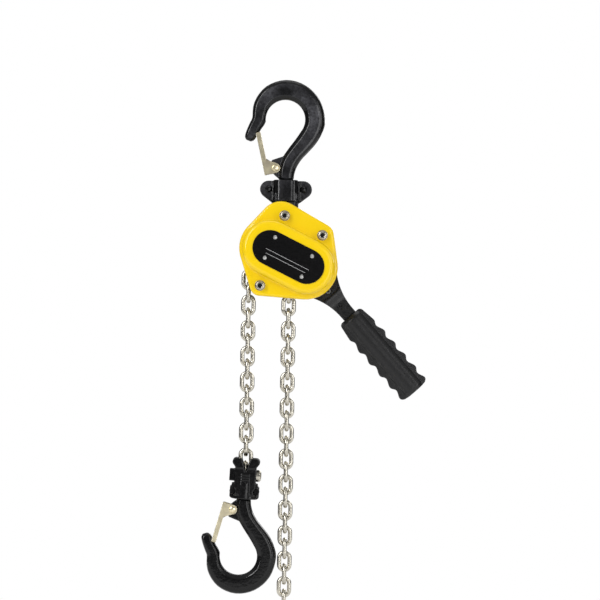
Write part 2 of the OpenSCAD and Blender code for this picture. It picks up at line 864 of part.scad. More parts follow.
// Links on the wheel, from the load side over the top
module sheave_chain() color(zinc) {
    for (i = [0:4])
        let (a = 162 - i * step_angle, flat = i % 2 == 0)
        translate([sheave_at[0], 0, sheave_at[1]])
            rotate([0, -a, 0])
                translate([wheel_r * cos(flat ? flat_angle : step_angle - flat_angle), 0, 0])
                    rotate([0, 0, flat ? 90 : 0])
                        link();
}

module load_chain() color(zinc) fall(load_x, load_links);
module slack_chain() color(zinc) fall(slack_x, slack_links);

// Guide that wraps the sheave from below and keeps the chain in its pockets
guide_in = lobe_r + 1.5;
guide_t = 2;
guide_half = asin((fall_x - link_out_r - 1) / (guide_in + guide_t));
module chain_guide() color(steel) {
    slab(-plate_in, plate_in)
        polygon(concat(
            arc(sheave_at, guide_in + guide_t, 270 - guide_half, 270 + guide_half, 16),
            arc(sheave_at, guide_in, 270 + guide_half, 270 - guide_half, 16)
        ));
}

// ---------- pinion shaft and brake ----------
shaft_end_y = nut_y + 6.5;
module pinion_shaft() color(steel) {
    difference() {
        union() {
            slab(gear_y1, gear_y2)
                at2(drive_at)
                    polygon(gear_points(pinion_teeth, gear_module, pinion_phase, backlash));
            rod(drive_at, gear_y1 - 0.8, plate_out + 0.4, shaft_d / 2);
            rod(drive_at, plate_out, nut_y, shaft_d / 2 - 0.5);
            rod(drive_at, nut_y - over, shaft_end_y, 4);
        }
        rod(drive_at, shaft_end_y - 4, shaft_end_y + over, 1.2);
    }
}

module friction_hub() color(steel) {
    difference() {
        union() {
            rod(drive_at, hub_y, hub_y + hub_flange, disc_d / 2);
            rod(drive_at, hub_y, press_y - 0.1, hub_sleeve_r);
        }
        rod(drive_at, hub_y - over, press_y + over, shaft_d / 2 - 0.5);
    }
}

module friction_disc(y0) {
    ring(drive_at, y0, y0 + disc_t, disc_d / 2, hub_sleeve_r + 0.3);
}

module friction_disc_front() color(rubber) friction_disc(disc1_y);
module friction_disc_back() color(rubber) friction_disc(disc2_y);

// Ratchet: each tooth's steep face looks clockwise from the front, towards the pawl that stops it
ratchet_phase = 105;
module ratchet_wheel() color(steel) {
    difference() {
        slab(ratchet_y, ratchet_y + ratchet_w)
            at2(drive_at)
                polygon([
                    for (i = [0:ratchet_teeth - 1])
                        let (a = ratchet_phase + 360 * i / ratchet_teeth)
                        each [
                            ratchet_root_r * [cos(a), sin(a)],
                            ratchet_tip_r * [cos(a), sin(a)],
                            ratchet_tip_r * [cos(a + 3), sin(a + 3)],
                            (ratchet_root_r + 0.7) * [cos(a + 18), sin(a + 18)]
                        ]
                ]);
        rod(drive_at, ratchet_y - over, ratchet_y + ratchet_w + over, hub_sleeve_r + run_fit);
    }
}

// Ratchet pawls: pivots on opposite sides of the wheel, noses against a steep face
pawl_r = 23.8;
pawl_turn = 30;
pawl_pin_r = 2;
pawl_boss_r = 3.4;
nose_r = 17.6;
function polar(r, a) = drive_at + r * [cos(a), sin(a)];
module pawl(a) {
    pivot = polar(pawl_r, a - pawl_turn);
    difference() {
        slab(ratchet_y, ratchet_y + ratchet_w)
            union() {
                at2(pivot)
                    circle(r = pawl_boss_r);
                polygon([
                    polar(pawl_r - pawl_boss_r * 0.98, a - pawl_turn - 1.5),
                    polar(nose_r, a - 1.2),
                    polar(ratchet_tip_r + 1.6, a - 1),
                    polar(ratchet_tip_r + 3.4, a - 5),
                    polar(pawl_r + pawl_boss_r * 0.98, a - pawl_turn + 2)
                ]);
            }
        rod(pivot, ratchet_y - over, ratchet_y + ratchet_w + over, pawl_pin_r + run_fit);
    }
}

module pawl_upper() color(steel) pawl(ratchet_phase);
module pawl_lower() color(steel) pawl(ratchet_phase + 180);

module pawl_pins() color(steel) {
    for (a = [ratchet_phase, ratchet_phase + 180])
        rod(polar(pawl_r, a - pawl_turn), plate_out, brake_in_y, pawl_pin_r);
}

pawl_wire = 0.7;
pawl_coil = spring_path(pawl_pin_r + pawl_wire / 2 + 0.3, pawl_wire + 0.5, 1.75, 0, 2.5, 2.5);
module pawl_springs() color(steel) {
    echo(pawl_spring_gap = self_gap(pawl_coil, pawl_wire));
    for (a = [ratchet_phase, ratchet_phase + 180])
        translate([polar(pawl_r, a - pawl_turn)[0], (ratchet_y + ratchet_w + brake_in_y) / 2 + 0.1,
            polar(pawl_r, a - pawl_turn)[1]])
            rotate([0, -a, 0])
                torsion_spring(pawl_coil, pawl_wire);
}

// Brake cover: a round pot over the brake with a lobe over the sheave's back bearing
brake_wall = 1.5;
brake_pot_r = pawl_r + pawl_boss_r + brake_wall + 0.5;
stay_lobe_r = stay_nut_af / 2 + brake_wall + 1.3;
bearing_lobe_r = journal_d / 2 + brake_wall + 3;
brake_corners = [
    [drive_at[0], drive_at[1], brake_pot_r],
    [stay_points[1][0], stay_points[1][1], stay_lobe_r],
    [sheave_at[0], sheave_at[1], bearing_lobe_r]
];
module brake_cover() color(yellow) {
    difference() {
        slab(plate_out, brake_out_y)
            polygon(wrap_outline(brake_corners, 0, 40));
        slab(plate_out - over, brake_in_y)
            polygon(wrap_outline(brake_corners, brake_wall, 40));
        rod(drive_at, brake_in_y - over, brake_out_y + over, change_neck_r + 1.5);
        for (p = brake_screws_at)
            turned(p, [
                [0, brake_in_y - over], [1.7, brake_in_y - over], [1.7, brake_out_y - 1.3],
                [3.1, brake_out_y], [3.1, brake_out_y + over], [0, brake_out_y + over]
            ]);
    }
}

// The brake cover's flush screws stand between the discs and the cover's wall
brake_screw_r = pawl_r + 1.2;
brake_screws_at = [for (a = [25, 165, 310]) polar(brake_screw_r, a)];
module brake_cover_screws() color(zinc) {
    for (p = brake_screws_at)
        difference() {
            turned(p, [
                [0, plate_out], [1.6, plate_out], [1.6, brake_out_y - 1.3], [2.9, brake_out_y - 0.1],
                [0, brake_out_y - 0.1]
            ]);
            hex_rod(p, brake_out_y - 1.1, brake_out_y + over, 2);
        }
}

// Change gear with the pressure flange of the brake, threaded on the shaft
module change_gear() color(steel) {
    difference() {
        union() {
            rod(drive_at, press_y, press_y + press_t, disc_d / 2);
            rod(drive_at, press_y, change_y1 + change_w, change_neck_r);
            slab(change_y1, change_y1 + change_w)
                at2(drive_at)
                    polygon([
                        for (i = [0:change_teeth - 1])
                            let (a = -lever_angle + i * 360 / change_teeth, q = 90 / change_teeth)
                            each [
                                change_root_r * [cos(a - q * 0.9), sin(a - q * 0.9)],
                                change_tip_r * [cos(a - q * 0.5), sin(a - q * 0.5)],
                                change_tip_r * [cos(a + q * 0.5), sin(a + q * 0.5)],
                                change_root_r * [cos(a + q * 0.9), sin(a + q * 0.9)]
                            ]
                    ]);
            rod(drive_at, change_y1 + change_w - over, handwheel_y, change_neck_r - 0.6);
        }
        rod(drive_at, press_y - over, handwheel_y + over, shaft_d / 2 - 0.5 + run_fit);
    }
}

// Handwheel: eight finger scallops round its rim
module handwheel() color(black) {
    difference() {
        turned(drive_at, [
            [0, handwheel_y], [handwheel_r - 2, handwheel_y], [handwheel_r, handwheel_y + 2],
            [handwheel_r, handwheel_y + handwheel_w - 2], [handwheel_r - 2, handwheel_y + handwheel_w],
            [handwheel_r - 5, handwheel_y + handwheel_w], [handwheel_r - 7, handwheel_y + handwheel_w - 3],
            [0, handwheel_y + handwheel_w - 3]
        ]);
        for (i = [0:7])
            rod(
                polar(handwheel_r + scallop_out, i * 45 + 22.5),
                handwheel_y - over, handwheel_y + handwheel_w + over, scallop_r
            );
        rod(drive_at, handwheel_y - over, nut_y, shaft_d / 2 - 0.5 + run_fit);
    }
}

module shaft_nut() color(zinc) {
    difference() {
        hex_rod(drive_at, nut_y, nut_y + 5, 13);
        rod(drive_at, nut_y - over, nut_y + 5 + over, 4);
    }
}

// ---------- lever ----------
// Centre of the fillet that runs from the round housing into the neck
neck_half = lever_w / 2;
flare_s = 58;
flare_r = (pow(flare_s, 2) / (lever_hub_r - neck_half) - lever_hub_r - neck_half) / 2;
arm_end = lever_len - 14;
function lever_outline(inset, s_end) =
    let (
        hub = lever_hub_r - inset,
        half = neck_half - inset,
        fr = flare_r + inset,
        a = atan2(half + fr, flare_s),
        side = concat(
            arc([0, 0], hub, 180, a, 24),
            arc([flare_s, half + fr], fr, a + 180, 270, 12),
            [[s_end, half]]
        )
    )
    concat(side, [for (i = [len(side) - 1:-1:1]) [side[i][0], -side[i][1]]]);

// In front of the grip the neck's face is pressed back in a curved step
press_s = 38.5;
press_l = 9;
press_d = 1.8;
press_end = grip_start + 1;
// What lies in front of the pressed face moved back by t, as far as s_end
module pressed(t, s_end) {
    translate([0, 0, -lever_hub_r])
        linear_extrude(2 * lever_hub_r)
            polygon(concat(
                [[s_end, lever_y1 - over], [press_s, lever_y1 - over]],
                [for (i = [0:6]) [press_s + press_l * i / 6, lever_y1 + t + press_d * sin(15 * i)]],
                [[s_end, lever_y1 + t + press_d]]
            ));
}

// Round groove in the lever's face, about the drive axis
lever_groove_r = 35.8;
module lever_arm() color(black) {
    along_lever()
        difference() {
            union() {
                difference() {
                    slab(lever_y1, lever_y2)
                        polygon(lever_outline(0, arm_end));
                    slab(lever_y1 + lever_t, lever_y2 + over)
                        polygon(lever_outline(lever_t, arm_end - lever_t));
                }
                intersection() {
                    slab(lever_y1, lever_y2)
                        polygon(lever_outline(0, arm_end));
                    pressed(lever_t, press_end + lever_t);
                }
            }
            pressed(0, press_end);
            ring([0, 0], lever_y1 - over, lever_y1 + 0.5, lever_groove_r + 0.6, lever_groove_r - 0.6);
            rod([0, 0], lever_y1 - over, lever_y2, change_neck_r + lever_fit);
            rod([change_pawl_s, 0], lever_y1 - over, lever_y2, 2.5 + run_fit);
            for (p = lever_screw_points)
                rod(p, lever_y1 - over, lever_y1 + press_d + lever_t + over, lever_screw_d / 2);
        }
}

// Two screws behind the pivot, beside the round wall, and one in the neck before the grip
lever_screw_d = 3.2;
screw_to_wall = 0.48;
hub_screw_r = lever_hub_r - lever_t - screw_to_wall - lever_screw_d / 2;
hub_screw_a = 125;
neck_screw_s = change_pawl_s + (grip_start - change_pawl_s) * 0.54;
lever_screw_points = [
    hub_screw_r * [cos(hub_screw_a), sin(hub_screw_a)],
    hub_screw_r * [cos(hub_screw_a), -sin(hub_screw_a)],
    [neck_screw_s, 0]
];
module lever_back_plate() color(black) {
    along_lever()
        difference() {
            slab(lever_y2, lever_y2 + lever_t)
                polygon(lever_outline(0, grip_start - 1));
            rod([0, 0], lever_y2 - over, lever_y2 + lever_t + over, change_neck_r - 0.6 + lever_fit);
            rod([change_pawl_s, 0], lever_y2 - over, lever_y2 + lever_t + over, 2.5 + run_fit);
            for (p = lever_screw_points)
                rod(p, lever_y2 - over, lever_y2 + lever_t + over, lever_screw_d / 2);
        }
}

module lever_screws() color(zinc) {
    along_lever()
        for (p = lever_screw_points)
            let (y = lever_y1 + (p[0] > press_s ? press_d : 0))
                turned(p, [
                    [0, y], [lever_screw_d / 2, y], [lever_screw_d / 2, lever_y2 + lever_t],
                    [2.8, lever_y2 + lever_t],
                    [2.6, lever_y2 + lever_t + 0.4], [0, lever_y2 + lever_t + 0.5]
                ]);
}

// Rubber grip: a round core between two edges that carry finger waves, steeper on the side of the end
wave_start = 22.5;
wave_deep = 2.9;
wave_crest = 0.63;
wave_pitch = (grip_len + 2.5 - wave_start) / grip_waves;
collar_half = grip_w / 2 - 3.3;
collar_flare = 0.145;
edge_half_t = 6;
function wave(x) =
    x < wave_crest ? (1 - cos(180 * x / wave_crest)) / 2
    : (1 + cos(180 * (x - wave_crest) / (1 - wave_crest))) / 2;
function grip_half(t) =
    let (
        low = grip_w / 2 - wave_deep,
        turns = (t - wave_start) / wave_pitch,
        collar = collar_half + t * collar_flare,
        body = t < wave_start - 5 ? collar - pow(max(0, 2.5 - t), 2) * 0.35
            : t < wave_start ? low + (collar_half + (wave_start - 5) * collar_flare - low)
                * (1 + cos(36 * (t - wave_start + 5))) / 2
            : low + wave_deep * wave(turns - floor(turns)),
        end = grip_len - t
    )
    end < 5 ? body - pow(5 - end, 2) * 0.13 : body;

module lever_grip() color(rubber) {
    rings = 28;
    core = [
        for (i = [0:rings])
            let (t = grip_len * i / rings, end = min(t, grip_len - t), in = pow(max(0, 4 - end), 2) * 0.16)
            [grip_start + t, 0, grip_w / 2 - 4.6 - in / 2, grip_t / 2 - in]
    ];
    along_lever()
        difference() {
            union() {
                translate([0, lever_mid_y, 0])
                    swept(core, squircle(24, 0.9));
                slab(lever_mid_y - edge_half_t, lever_mid_y + edge_half_t)
                    polygon(concat(
                        [for (t = [0:grip_len]) [grip_start + t, grip_half(t)]],
                        [for (t = [floor(grip_len):-1:0]) [grip_start + t, -grip_half(t)]]
                    ));
            }
            translate([grip_start - over, lever_y1, -neck_half])
                cube([arm_end - grip_start + over, lever_depth, lever_w]);
        }
}

// Change pawl: two noses that reach the change gear in turn
nose_in = (change_tip_r + 0.41) * [cos(16.8), sin(16.8)];
nose_out = (change_tip_r + 0.75) * [cos(19.5), sin(19.5)];
module change_pawl() color(steel) {
    along_lever()
        difference() {
            union() {
                slab(change_y1, change_y1 + change_w - 0.5)
                    union() {
                        at2([change_pawl_s, 0])
                            circle(r = 4.6);
                        for (s = [-1, 1])
                            polygon([
                                [change_pawl_s, s * -3], [change_pawl_s, s * 4.4],
                                [nose_out[0] + 2.1, s * (nose_out[1] + 1.9)],
                                [nose_out[0], s * nose_out[1]], [nose_in[0], s * nose_in[1]]
                            ]);
                    }
                rod([change_pawl_s, 0], lever_y1, lever_y2 + lever_t + 0.4, 2.5);
            }
            rod([change_pawl_s, 0], lever_y1 - over, lever_y2 + lever_t + over, 1.2);
        }
}

// Selector: knob on a spindle inside the pawl's hollow pin; its tongue ends short of the grip
selector_end = grip_start - 5;
module selector() color(black) {
    y = lever_y2 + lever_t + 0.6;
    along_lever()
        union() {
            rod([change_pawl_s, 0], y, y + 4, 6.5);
            slab(y, y + 5)
                polygon([
                    [change_pawl_s + 5, -3.4], [selector_end, -2.2], [selector_end, 2.2],
                    [change_pawl_s + 5, 3.4]
                ]);
            rod([change_pawl_s, 0], lever_y1 + 0.2, y + 2, 1.2 - run_fit);
        }
}

// ---------- bottom block ----------
byoke_r = 12.4;
byoke_low_z = chain_pin_z - bowl_drop - yoke_top_z * bottom_scale;
byoke_top_z = chain_pin_z + byoke_top;
slot_w = wire_d + 2.6;
cross_half = link_out_r + 2.6;
bear_x = 11.2;
bear_z = byoke_low_z + 7.2;
waist_half = 10;
horn_corners = [
    [load_x - 8.6, byoke_top_z - 8, 1.4],
    [load_x + 8.6, byoke_top_z - 8, 1.4],
    [load_x + 9.4, byoke_top_z - 3.5, 3.5],
    [load_x - 9.4, byoke_top_z - 3.5, 3.5]
];
block_corners = [
    [load_x - 12, byoke_low_z + 2.4, 1.8],
    [load_x + 12, byoke_low_z + 2.4, 1.8],
    [load_x + 12.6, byoke_low_z + 11, 1.2],
    [load_x + 8.6, byoke_low_z + 13.2, 1.2],
    [load_x - 8.6, byoke_low_z + 13.2, 1.2],
    [load_x - 12.6, byoke_low_z + 11, 1.2]
];

module bottom_yoke_half(s) {
    difference() {
        intersection() {
            union() {
                // Waist that carries the chain pin
                translate([load_x - waist_half, -11.5, byoke_low_z + 4])
                    cube([2 * waist_half, 23, byoke_top_z - byoke_low_z - 8]);
                // Ribs across its faces
                for (i = [0:3])
                    translate([load_x - 3.6, -12.1, byoke_top_z - 16.1 - i * 2.25])
                        cube([7.2, 24.2, 1.1]);
                // Flared horns beside the chain's slot
                slab(-11.9, 11.9)
                    polygon(wrap_outline(horn_corners));
                // Barrel round the hook's collar, and the blocks that the bolts hold together
                translate([load_x, 0, byoke_low_z])
                    cylinder(h = 15, r = byoke_r);
                slab(-4.6, 4.6)
                    polygon(wrap_outline(block_corners));
                // Block beside the chain pin's nut
                translate([load_x - 15, -6, chain_pin_z - 5.6])
                    cube([8, 12, 11.2]);
            }
            translate([load_x - 30, s > 0 ? 0 : -30, byoke_low_z - over])
                cube([60, 30, 60]);
        }
        // Cross-shaped way for the last two links, and room for them to swing
        translate([load_x - slot_w / 2, -cross_half, chain_pin_z - 8.6])
            cube([slot_w, 2 * cross_half, 40]);
        translate([load_x - link_out_r - 1.5, -wire_r - 2.6, chain_pin_z + 3.4])
            cube([2 * link_out_r + 3, wire_d + 5.2, 40]);
        // Notch that shows the last link
        slab(-30, 30)
            polygon([
                [load_x - 4.4, byoke_top_z + over], [load_x, byoke_top_z - 13.4],
                [load_x + 4.4, byoke_top_z + over]
            ]);
        // Bores
        translate([load_x - 30, 0, chain_pin_z])
            rotate([0, 90, 0])
                cylinder(h = 60, d = chain_pin_d + 2 * run_fit);
        translate([load_x - 15 - over, 0, chain_pin_z])
            rotate([0, 90, 0])
                cylinder(h = 4 + over, d = 8 / cos(30) + 0.3, $fn = 6);
        bottom_place()
            union() {
                collar_room(collar_z + 0.25, hook_end_z - 0.3);
                translate([hook_x, 0, collar_z - over])
                    cylinder(h = yoke_top_z - collar_z + 2 * over, r = neck_d / 2 + run_fit + 0.24);
            }
        for (e = [-1, 1]) {
            rod([load_x + e * bear_x, bear_z], -20, 20, 1.6);
            for (y = [-20, 4.6])
                rod([load_x + e * bear_x, bear_z], y, y + 15.4, 3);
        }
    }
}

module bottom_yoke_front() color(black) askew() bottom_yoke_half(-1);
module bottom_yoke_back() color(black) askew() bottom_yoke_half(1);

module bottom_yoke_bolts() color(black) askew() {
    for (e = [-1, 1])
        turned([load_x + e * bear_x, bear_z], [
            [0, -7], [2.4, -7], [2.8, -6.6], [2.8, -4.6], [1.6, -4.6],
            [1.6, 4.6], [2.8, 4.6], [2.8, 6.6], [2.4, 7], [0, 7]
        ]);
}

module chain_pin() color(zinc) askew() {
    translate([load_x, 0, chain_pin_z])
        rotate([0, 90, 0])
            difference() {
                union() {
                    translate([0, 0, -14.6])
                        cylinder(h = 14.6 + waist_half + 0.25, d = chain_pin_d);
                    rotate_extrude()
                        polygon([
                            [0, waist_half + 0.15], [5.6, waist_half + 0.15], [5.6, waist_half + 2.6],
                            [5.2, waist_half + 3.8], [4.2, waist_half + 4.6], [0, waist_half + 5]
                        ]);
                }
                translate([0, 0, waist_half + 2.4])
                    cylinder(h = 4, d = 5, $fn = 6);
            }
}

module chain_pin_nut() color(zinc) askew() {
    translate([load_x - 14.8, 0, chain_pin_z])
        rotate([0, 90, 0])
            difference() {
                cylinder(h = 3.6, d = 8 / cos(30), $fn = 6);
                translate([0, 0, -over])
                    cylinder(h = 3.6 + 2 * over, d = chain_pin_d);
            }
}

// ---------- tail ring ----------
block_w = 26;
block_d = 8;
block_up = 5.1;
block_down = 5.6;
ring_t = 5.5;
block_z = tail_pin_z - block_down;
ring_low = block_z - ring_h;
tail_swing = 20;
// Centre and radius of the room for the link's lower end, above the pin
tail_room_r = link_out_r + 0.7;
tail_room_z = tail_pin_z + (pitch + link_play) / 2 - tail_pin_d / 2 - 0.2 - link_leg / 2;

// Points from p towards q on an edge that bows by b to the left of its way
function bowed(p, q, b, n = 8) =
    let (d = (q - p) / norm(q - p))
    [for (i = [0:n - 1]) let (t = i / n) p + (q - p) * t + [-d[1], d[0]] * b * 4 * t * (1 - t)];

// Ring outline: half widths at the bottom and the top, heights, and how far the edges bow
function ring_outline(w0, w1, z0, z1, low_bow, side_bow) = concat(
    bowed([slack_x - w0, z0], [slack_x + w0, z0], -low_bow),
    bowed([slack_x + w0, z0], [slack_x + w1, z1], side_bow),
    [[slack_x + w1, z1], [slack_x - w1, z1]],
    bowed([slack_x - w1, z1], [slack_x - w0, z0], side_bow)
);

module tail_ring() color(rubber) {
    difference() {
        union() {
            translate([slack_x - block_w / 2, -block_d, block_z])
                cube([block_w, 2 * block_d, block_down + block_up]);
            slab(-ring_t / 2, ring_t / 2)
                polygon(ring_outline(ring_w / 2, ring_top_w / 2, ring_low, block_z + 1, 1.2, 1));
        }
        slab(-ring_t, ring_t)
            polygon(ring_outline(ring_w / 2 - ring_bar * 1.2, ring_top_w / 2 - ring_bar * 1.1,
                ring_low + ring_bar, block_z - 4.5, 1, 1));
        slab(-wire_r - 0.6, wire_r + 0.6)
            union() {
                at2([slack_x, tail_room_z])
                    circle(r = tail_room_r);
                polygon([
                    [slack_x - tail_room_r / cos(tail_swing), tail_room_z],
                    [slack_x + tail_room_r / cos(tail_swing), tail_room_z],
                    [slack_x + tail_room_r / cos(tail_swing) + 8 * tan(tail_swing), tail_room_z + 8],
                    [slack_x - tail_room_r / cos(tail_swing) - 8 * tan(tail_swing), tail_room_z + 8]
                ]);
            }
        rod([slack_x, tail_pin_z], -20, 20, tail_pin_d / 2);
    }
}

module tail_pin() color(zinc) {
    rod([slack_x, tail_pin_z], -block_d - 0.3, block_d + 0.3, tail_pin_d / 2);
}

top_hook();
top_latch();
top_latch_rivet();
top_latch_spring();
top_yoke_front();
top_yoke_back();
top_yoke_rivets();
side_plate_front();
side_plate_back();
stay_spacers();
stay_nuts();
gear_cover();
cover_screws();
cover_washers();
nameplate();
nameplate_rivets();
load_sheave();
load_gear();
sheave_ring();
sheave_bush_front();
sheave_bush_back();
sheave_chain();
pinion_shaft();
shaft_bush_front();
shaft_bush_back();
chain_guide();
friction_hub();
friction_disc_front();
friction_disc_back();
ratchet_wheel();
pawl_upper();
pawl_lower();
pawl_pins();
pawl_springs();
brake_cover();
brake_cover_screws();
change_gear();
handwheel();
shaft_nut();
lever_arm();
lever_back_plate();
lever_screws();
lever_grip();
change_pawl();
selector();
load_chain();
slack_chain();
bottom_yoke_front();
bottom_yoke_back();
bottom_yoke_bolts();
chain_pin();
chain_pin_nut();
bottom_hook();
bottom_latch();
bottom_latch_rivet();
bottom_latch_spring();
tail_ring();
tail_pin();
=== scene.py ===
"""Dresses a small lever chain hoist: forged hooks, enamelled covers, zinc-plated chain and rubber grip."""
import json
import math

import bmesh
import bpy
from mathutils import Matrix, Vector


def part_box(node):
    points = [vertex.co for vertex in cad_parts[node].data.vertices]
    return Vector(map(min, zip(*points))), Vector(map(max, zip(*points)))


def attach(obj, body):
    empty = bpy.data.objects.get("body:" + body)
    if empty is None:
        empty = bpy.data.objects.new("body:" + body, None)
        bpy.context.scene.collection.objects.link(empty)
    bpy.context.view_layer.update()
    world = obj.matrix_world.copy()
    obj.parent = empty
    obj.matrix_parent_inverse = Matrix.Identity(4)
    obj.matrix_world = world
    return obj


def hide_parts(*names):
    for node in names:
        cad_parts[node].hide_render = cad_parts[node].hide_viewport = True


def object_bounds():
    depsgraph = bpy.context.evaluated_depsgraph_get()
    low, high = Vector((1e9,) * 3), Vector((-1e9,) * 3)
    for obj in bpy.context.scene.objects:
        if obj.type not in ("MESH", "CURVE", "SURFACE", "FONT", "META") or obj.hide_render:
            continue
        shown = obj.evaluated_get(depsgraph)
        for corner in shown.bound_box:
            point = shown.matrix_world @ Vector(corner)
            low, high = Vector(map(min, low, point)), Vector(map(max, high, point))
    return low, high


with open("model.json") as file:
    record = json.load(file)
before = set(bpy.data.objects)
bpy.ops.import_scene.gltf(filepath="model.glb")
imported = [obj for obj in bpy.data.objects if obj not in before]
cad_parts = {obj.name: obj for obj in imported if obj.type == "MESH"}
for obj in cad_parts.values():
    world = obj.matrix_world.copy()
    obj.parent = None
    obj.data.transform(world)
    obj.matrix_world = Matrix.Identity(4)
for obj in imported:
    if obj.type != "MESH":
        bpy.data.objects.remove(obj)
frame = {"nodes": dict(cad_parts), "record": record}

bl_info = {
    "name": "Lever Chain Hoist",
    "version": (1, 0, 0),
    "blender": (4, 5, 0),
    "location": "View3D > Sidebar > Hoist",
    "description": "Finishes a lever chain hoist in enamel, zinc plate, bronze and moulded rubber",
    "category": "Object",
}

MM = 0.001
CAD_LOW, CAD_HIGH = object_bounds()

# Passes that run the voxel skins' edges together: sheet and forgings, small castings, moulded rubber
FORGED_PASSES = 6
CAST_PASSES = 5
MOULDED_PASSES = 12

# Angles above which an edge is bevelled, and above which its shading stays sharp
BEVEL_FROM = math.radians(32)
SHARP_FROM = math.radians(50)

# The nameplate's turn, and its two blank lines, each as mm below the middle and half its length
PLATE_TILT = math.radians(26)
PLATE_LINES = ((2.3, 22.5), (6.1, 20.5))
LINE_WIDTH = 0.4 * MM
LINE_HEIGHT = 0.04 * MM

# Half width of the cover screws' hexagon sockets, and how deep below the head's face they are painted dark
# as shade
SOCKET_REACH = 2.4 * MM
SOCKET_FROM, SOCKET_TO = 0.1 * MM, 6 * MM

# The studio floor: its radius, its drop below the hoist, and where it fades from paint to white
FLOOR_RADIUS = 1.6
FLOOR_DROP = 0.005
FADE_FROM, FADE_TO = 0.25, 0.95

# World light: horizon and zenith as gloss sees them, and the level that lights dull surfaces
HORIZON, ZENITH = 0.13, 0.45
LEVEL_LIGHT = 0.42

# Where the lamps aim, and each lamp's place, width, height and power
LAMP_AIM = (0.02, 0, -0.2)
LAMPS = {
    "key_lamp": ((-1.4, -1.6, 0.7), 0.5, 1.8, 29),
    "fill_lamp": ((1.9, -1.3, 0.2), 0.45, 1.8, 14),
    "top_lamp": ((0.1, 0.3, 1.9), 1.6, 1.2, 9),
    "front_lamp": ((1.0, -3.2, -0.2), 0.8, 1.6, 12),
    "back_lamp": ((1.0, 2.0, 0.7), 1.4, 1.4, 20),
}

# What the camera looks at, straight along +Y, and its sensor's width in mm
CAMERA_X, CAMERA_Z = 0.0165, -0.1694
SENSOR_WIDTH = 36


# ---------- colours, nodes and coordinates ----------
def linear(code):
    """An sRGB hex colour as the linear red, green and blue that the shaders take."""
    out = []
    for i in (0, 2, 4):
        c = int(code[i:i + 2], 16) / 255
        out.append(c / 12.92 if c <= 0.04045 else ((c + 0.055) / 1.055) ** 2.4)
    return tuple(out)


def add_node(tree, kind, inputs=None, **settings):
    """Adds one shader node with its settings; inputs are values or other nodes' output sockets."""
    made = tree.nodes.new(kind)
    for key, value in settings.items():
        setattr(made, key, value)
    for key, value in (inputs or {}).items():
        socket = made.inputs[key]
        if isinstance(value, bpy.types.NodeSocket):
            tree.links.new(value, socket)
        elif socket.type == "RGBA" and len(value) == 3:
            socket.default_value = (*value, 1)
        else:
            socket.default_value = value
    return made


def per(size_mm):
    """Noise scale whose features are about size_mm across, for coordinates in metres."""
    return 1 / (size_mm * MM)


# ---------- settings that a user would change ----------
class HoistColours(bpy.types.PropertyGroup):
    """Colours of the paints and platings"""

    cover: bpy.props.FloatVectorProperty(
        name="Cover enamel", description="Stove enamel on the gear and brake covers",
        subtype="COLOR", size=3, min=0, max=1, default=linear("F1CC00"))
    forging: bpy.props.FloatVectorProperty(
        name="Forging enamel", description="Black enamel on the hooks and yokes",
        subtype="COLOR", size=3, min=0, max=1, default=linear("060607"))
    lever: bpy.props.FloatVectorProperty(
        name="Lever enamel", description="Black enamel on the pressed lever and the handwheel",
        subtype="COLOR", size=3, min=0, max=1, default=linear("121213"))
    rubber: bpy.props.FloatVectorProperty(
        name="Grip rubber", description="Moulded rubber of the grip",
        subtype="COLOR", size=3, min=0, max=1, default=linear("0A0A0C"))
    ring: bpy.props.FloatVectorProperty(
        name="Tail ring", description="Matt coating on the tail ring",
        subtype="COLOR", size=3, min=0, max=1, default=linear("303032"))
    zinc: bpy.props.FloatVectorProperty(
        name="Zinc plate", description="Zinc plating on the chain and the fasteners",
        subtype="COLOR", size=3, min=0, max=1, default=linear("DAD5C8"))
    passivate: bpy.props.FloatVectorProperty(
        name="Yellow passivation", description="Yellow chromate over zinc on the latches",
        subtype="COLOR", size=3, min=0, max=1, default=linear("FBF0CE"))
    floor: bpy.props.FloatVectorProperty(
        name="Floor", description="Colour of the studio floor under the hoist",
        subtype="COLOR", size=3, min=0, max=1, default=linear("F0F0F0"))


class HoistSizes(bpy.types.PropertyGroup):
    """Sizes of the edges, grains and stage"""

    forging_cell: bpy.props.FloatProperty(
        name="Forging cell", description="Cell size of the skin over the forgings and castings",
        unit="LENGTH", min=0.0003, max=0.002, precision=5, default=0.00048)
    sheet_cell: bpy.props.FloatProperty(
        name="Sheet cell", description="Cell size of the skin over the pressed covers",
        unit="LENGTH", min=0.0003, max=0.002, precision=5, default=0.0005)
    broken_edge: bpy.props.FloatProperty(
        name="Broken edge", description="Width of the rounding on machined and pressed edges",
        unit="LENGTH", min=0.00005, max=0.001, precision=5, default=0.00025)
    camera_distance: bpy.props.FloatProperty(
        name="Camera distance", description="Distance of the camera from the hoist",
        unit="LENGTH", min=1, max=6, default=3.0)
    view_width: bpy.props.FloatProperty(
        name="View width", description="Width of the picture at the hoist",
        unit="LENGTH", min=0.2, max=2, default=0.564)
    camera_roll: bpy.props.FloatProperty(
        name="Camera roll", description="Tilt of the camera about its line of sight",
        unit="ROTATION", min=-0.2, max=0.2, default=math.radians(0.97))


# ---------- finishes ----------
def start_finish(name):
    """A new empty material, its node tree and its object coordinates."""
    made = bpy.data.materials.new(name)
    made.use_nodes = True
    tree = made.node_tree
    tree.nodes.clear()
    place = add_node(tree, "ShaderNodeTexCoord").outputs["Object"]
    return made, tree, place


def close_finish(tree, inputs):
    """The surface shader and the output of a finish."""
    shader = add_node(tree, "ShaderNodeBsdfPrincipled", inputs)
    add_node(tree, "ShaderNodeOutputMaterial", {"Surface": shader.outputs[0]})


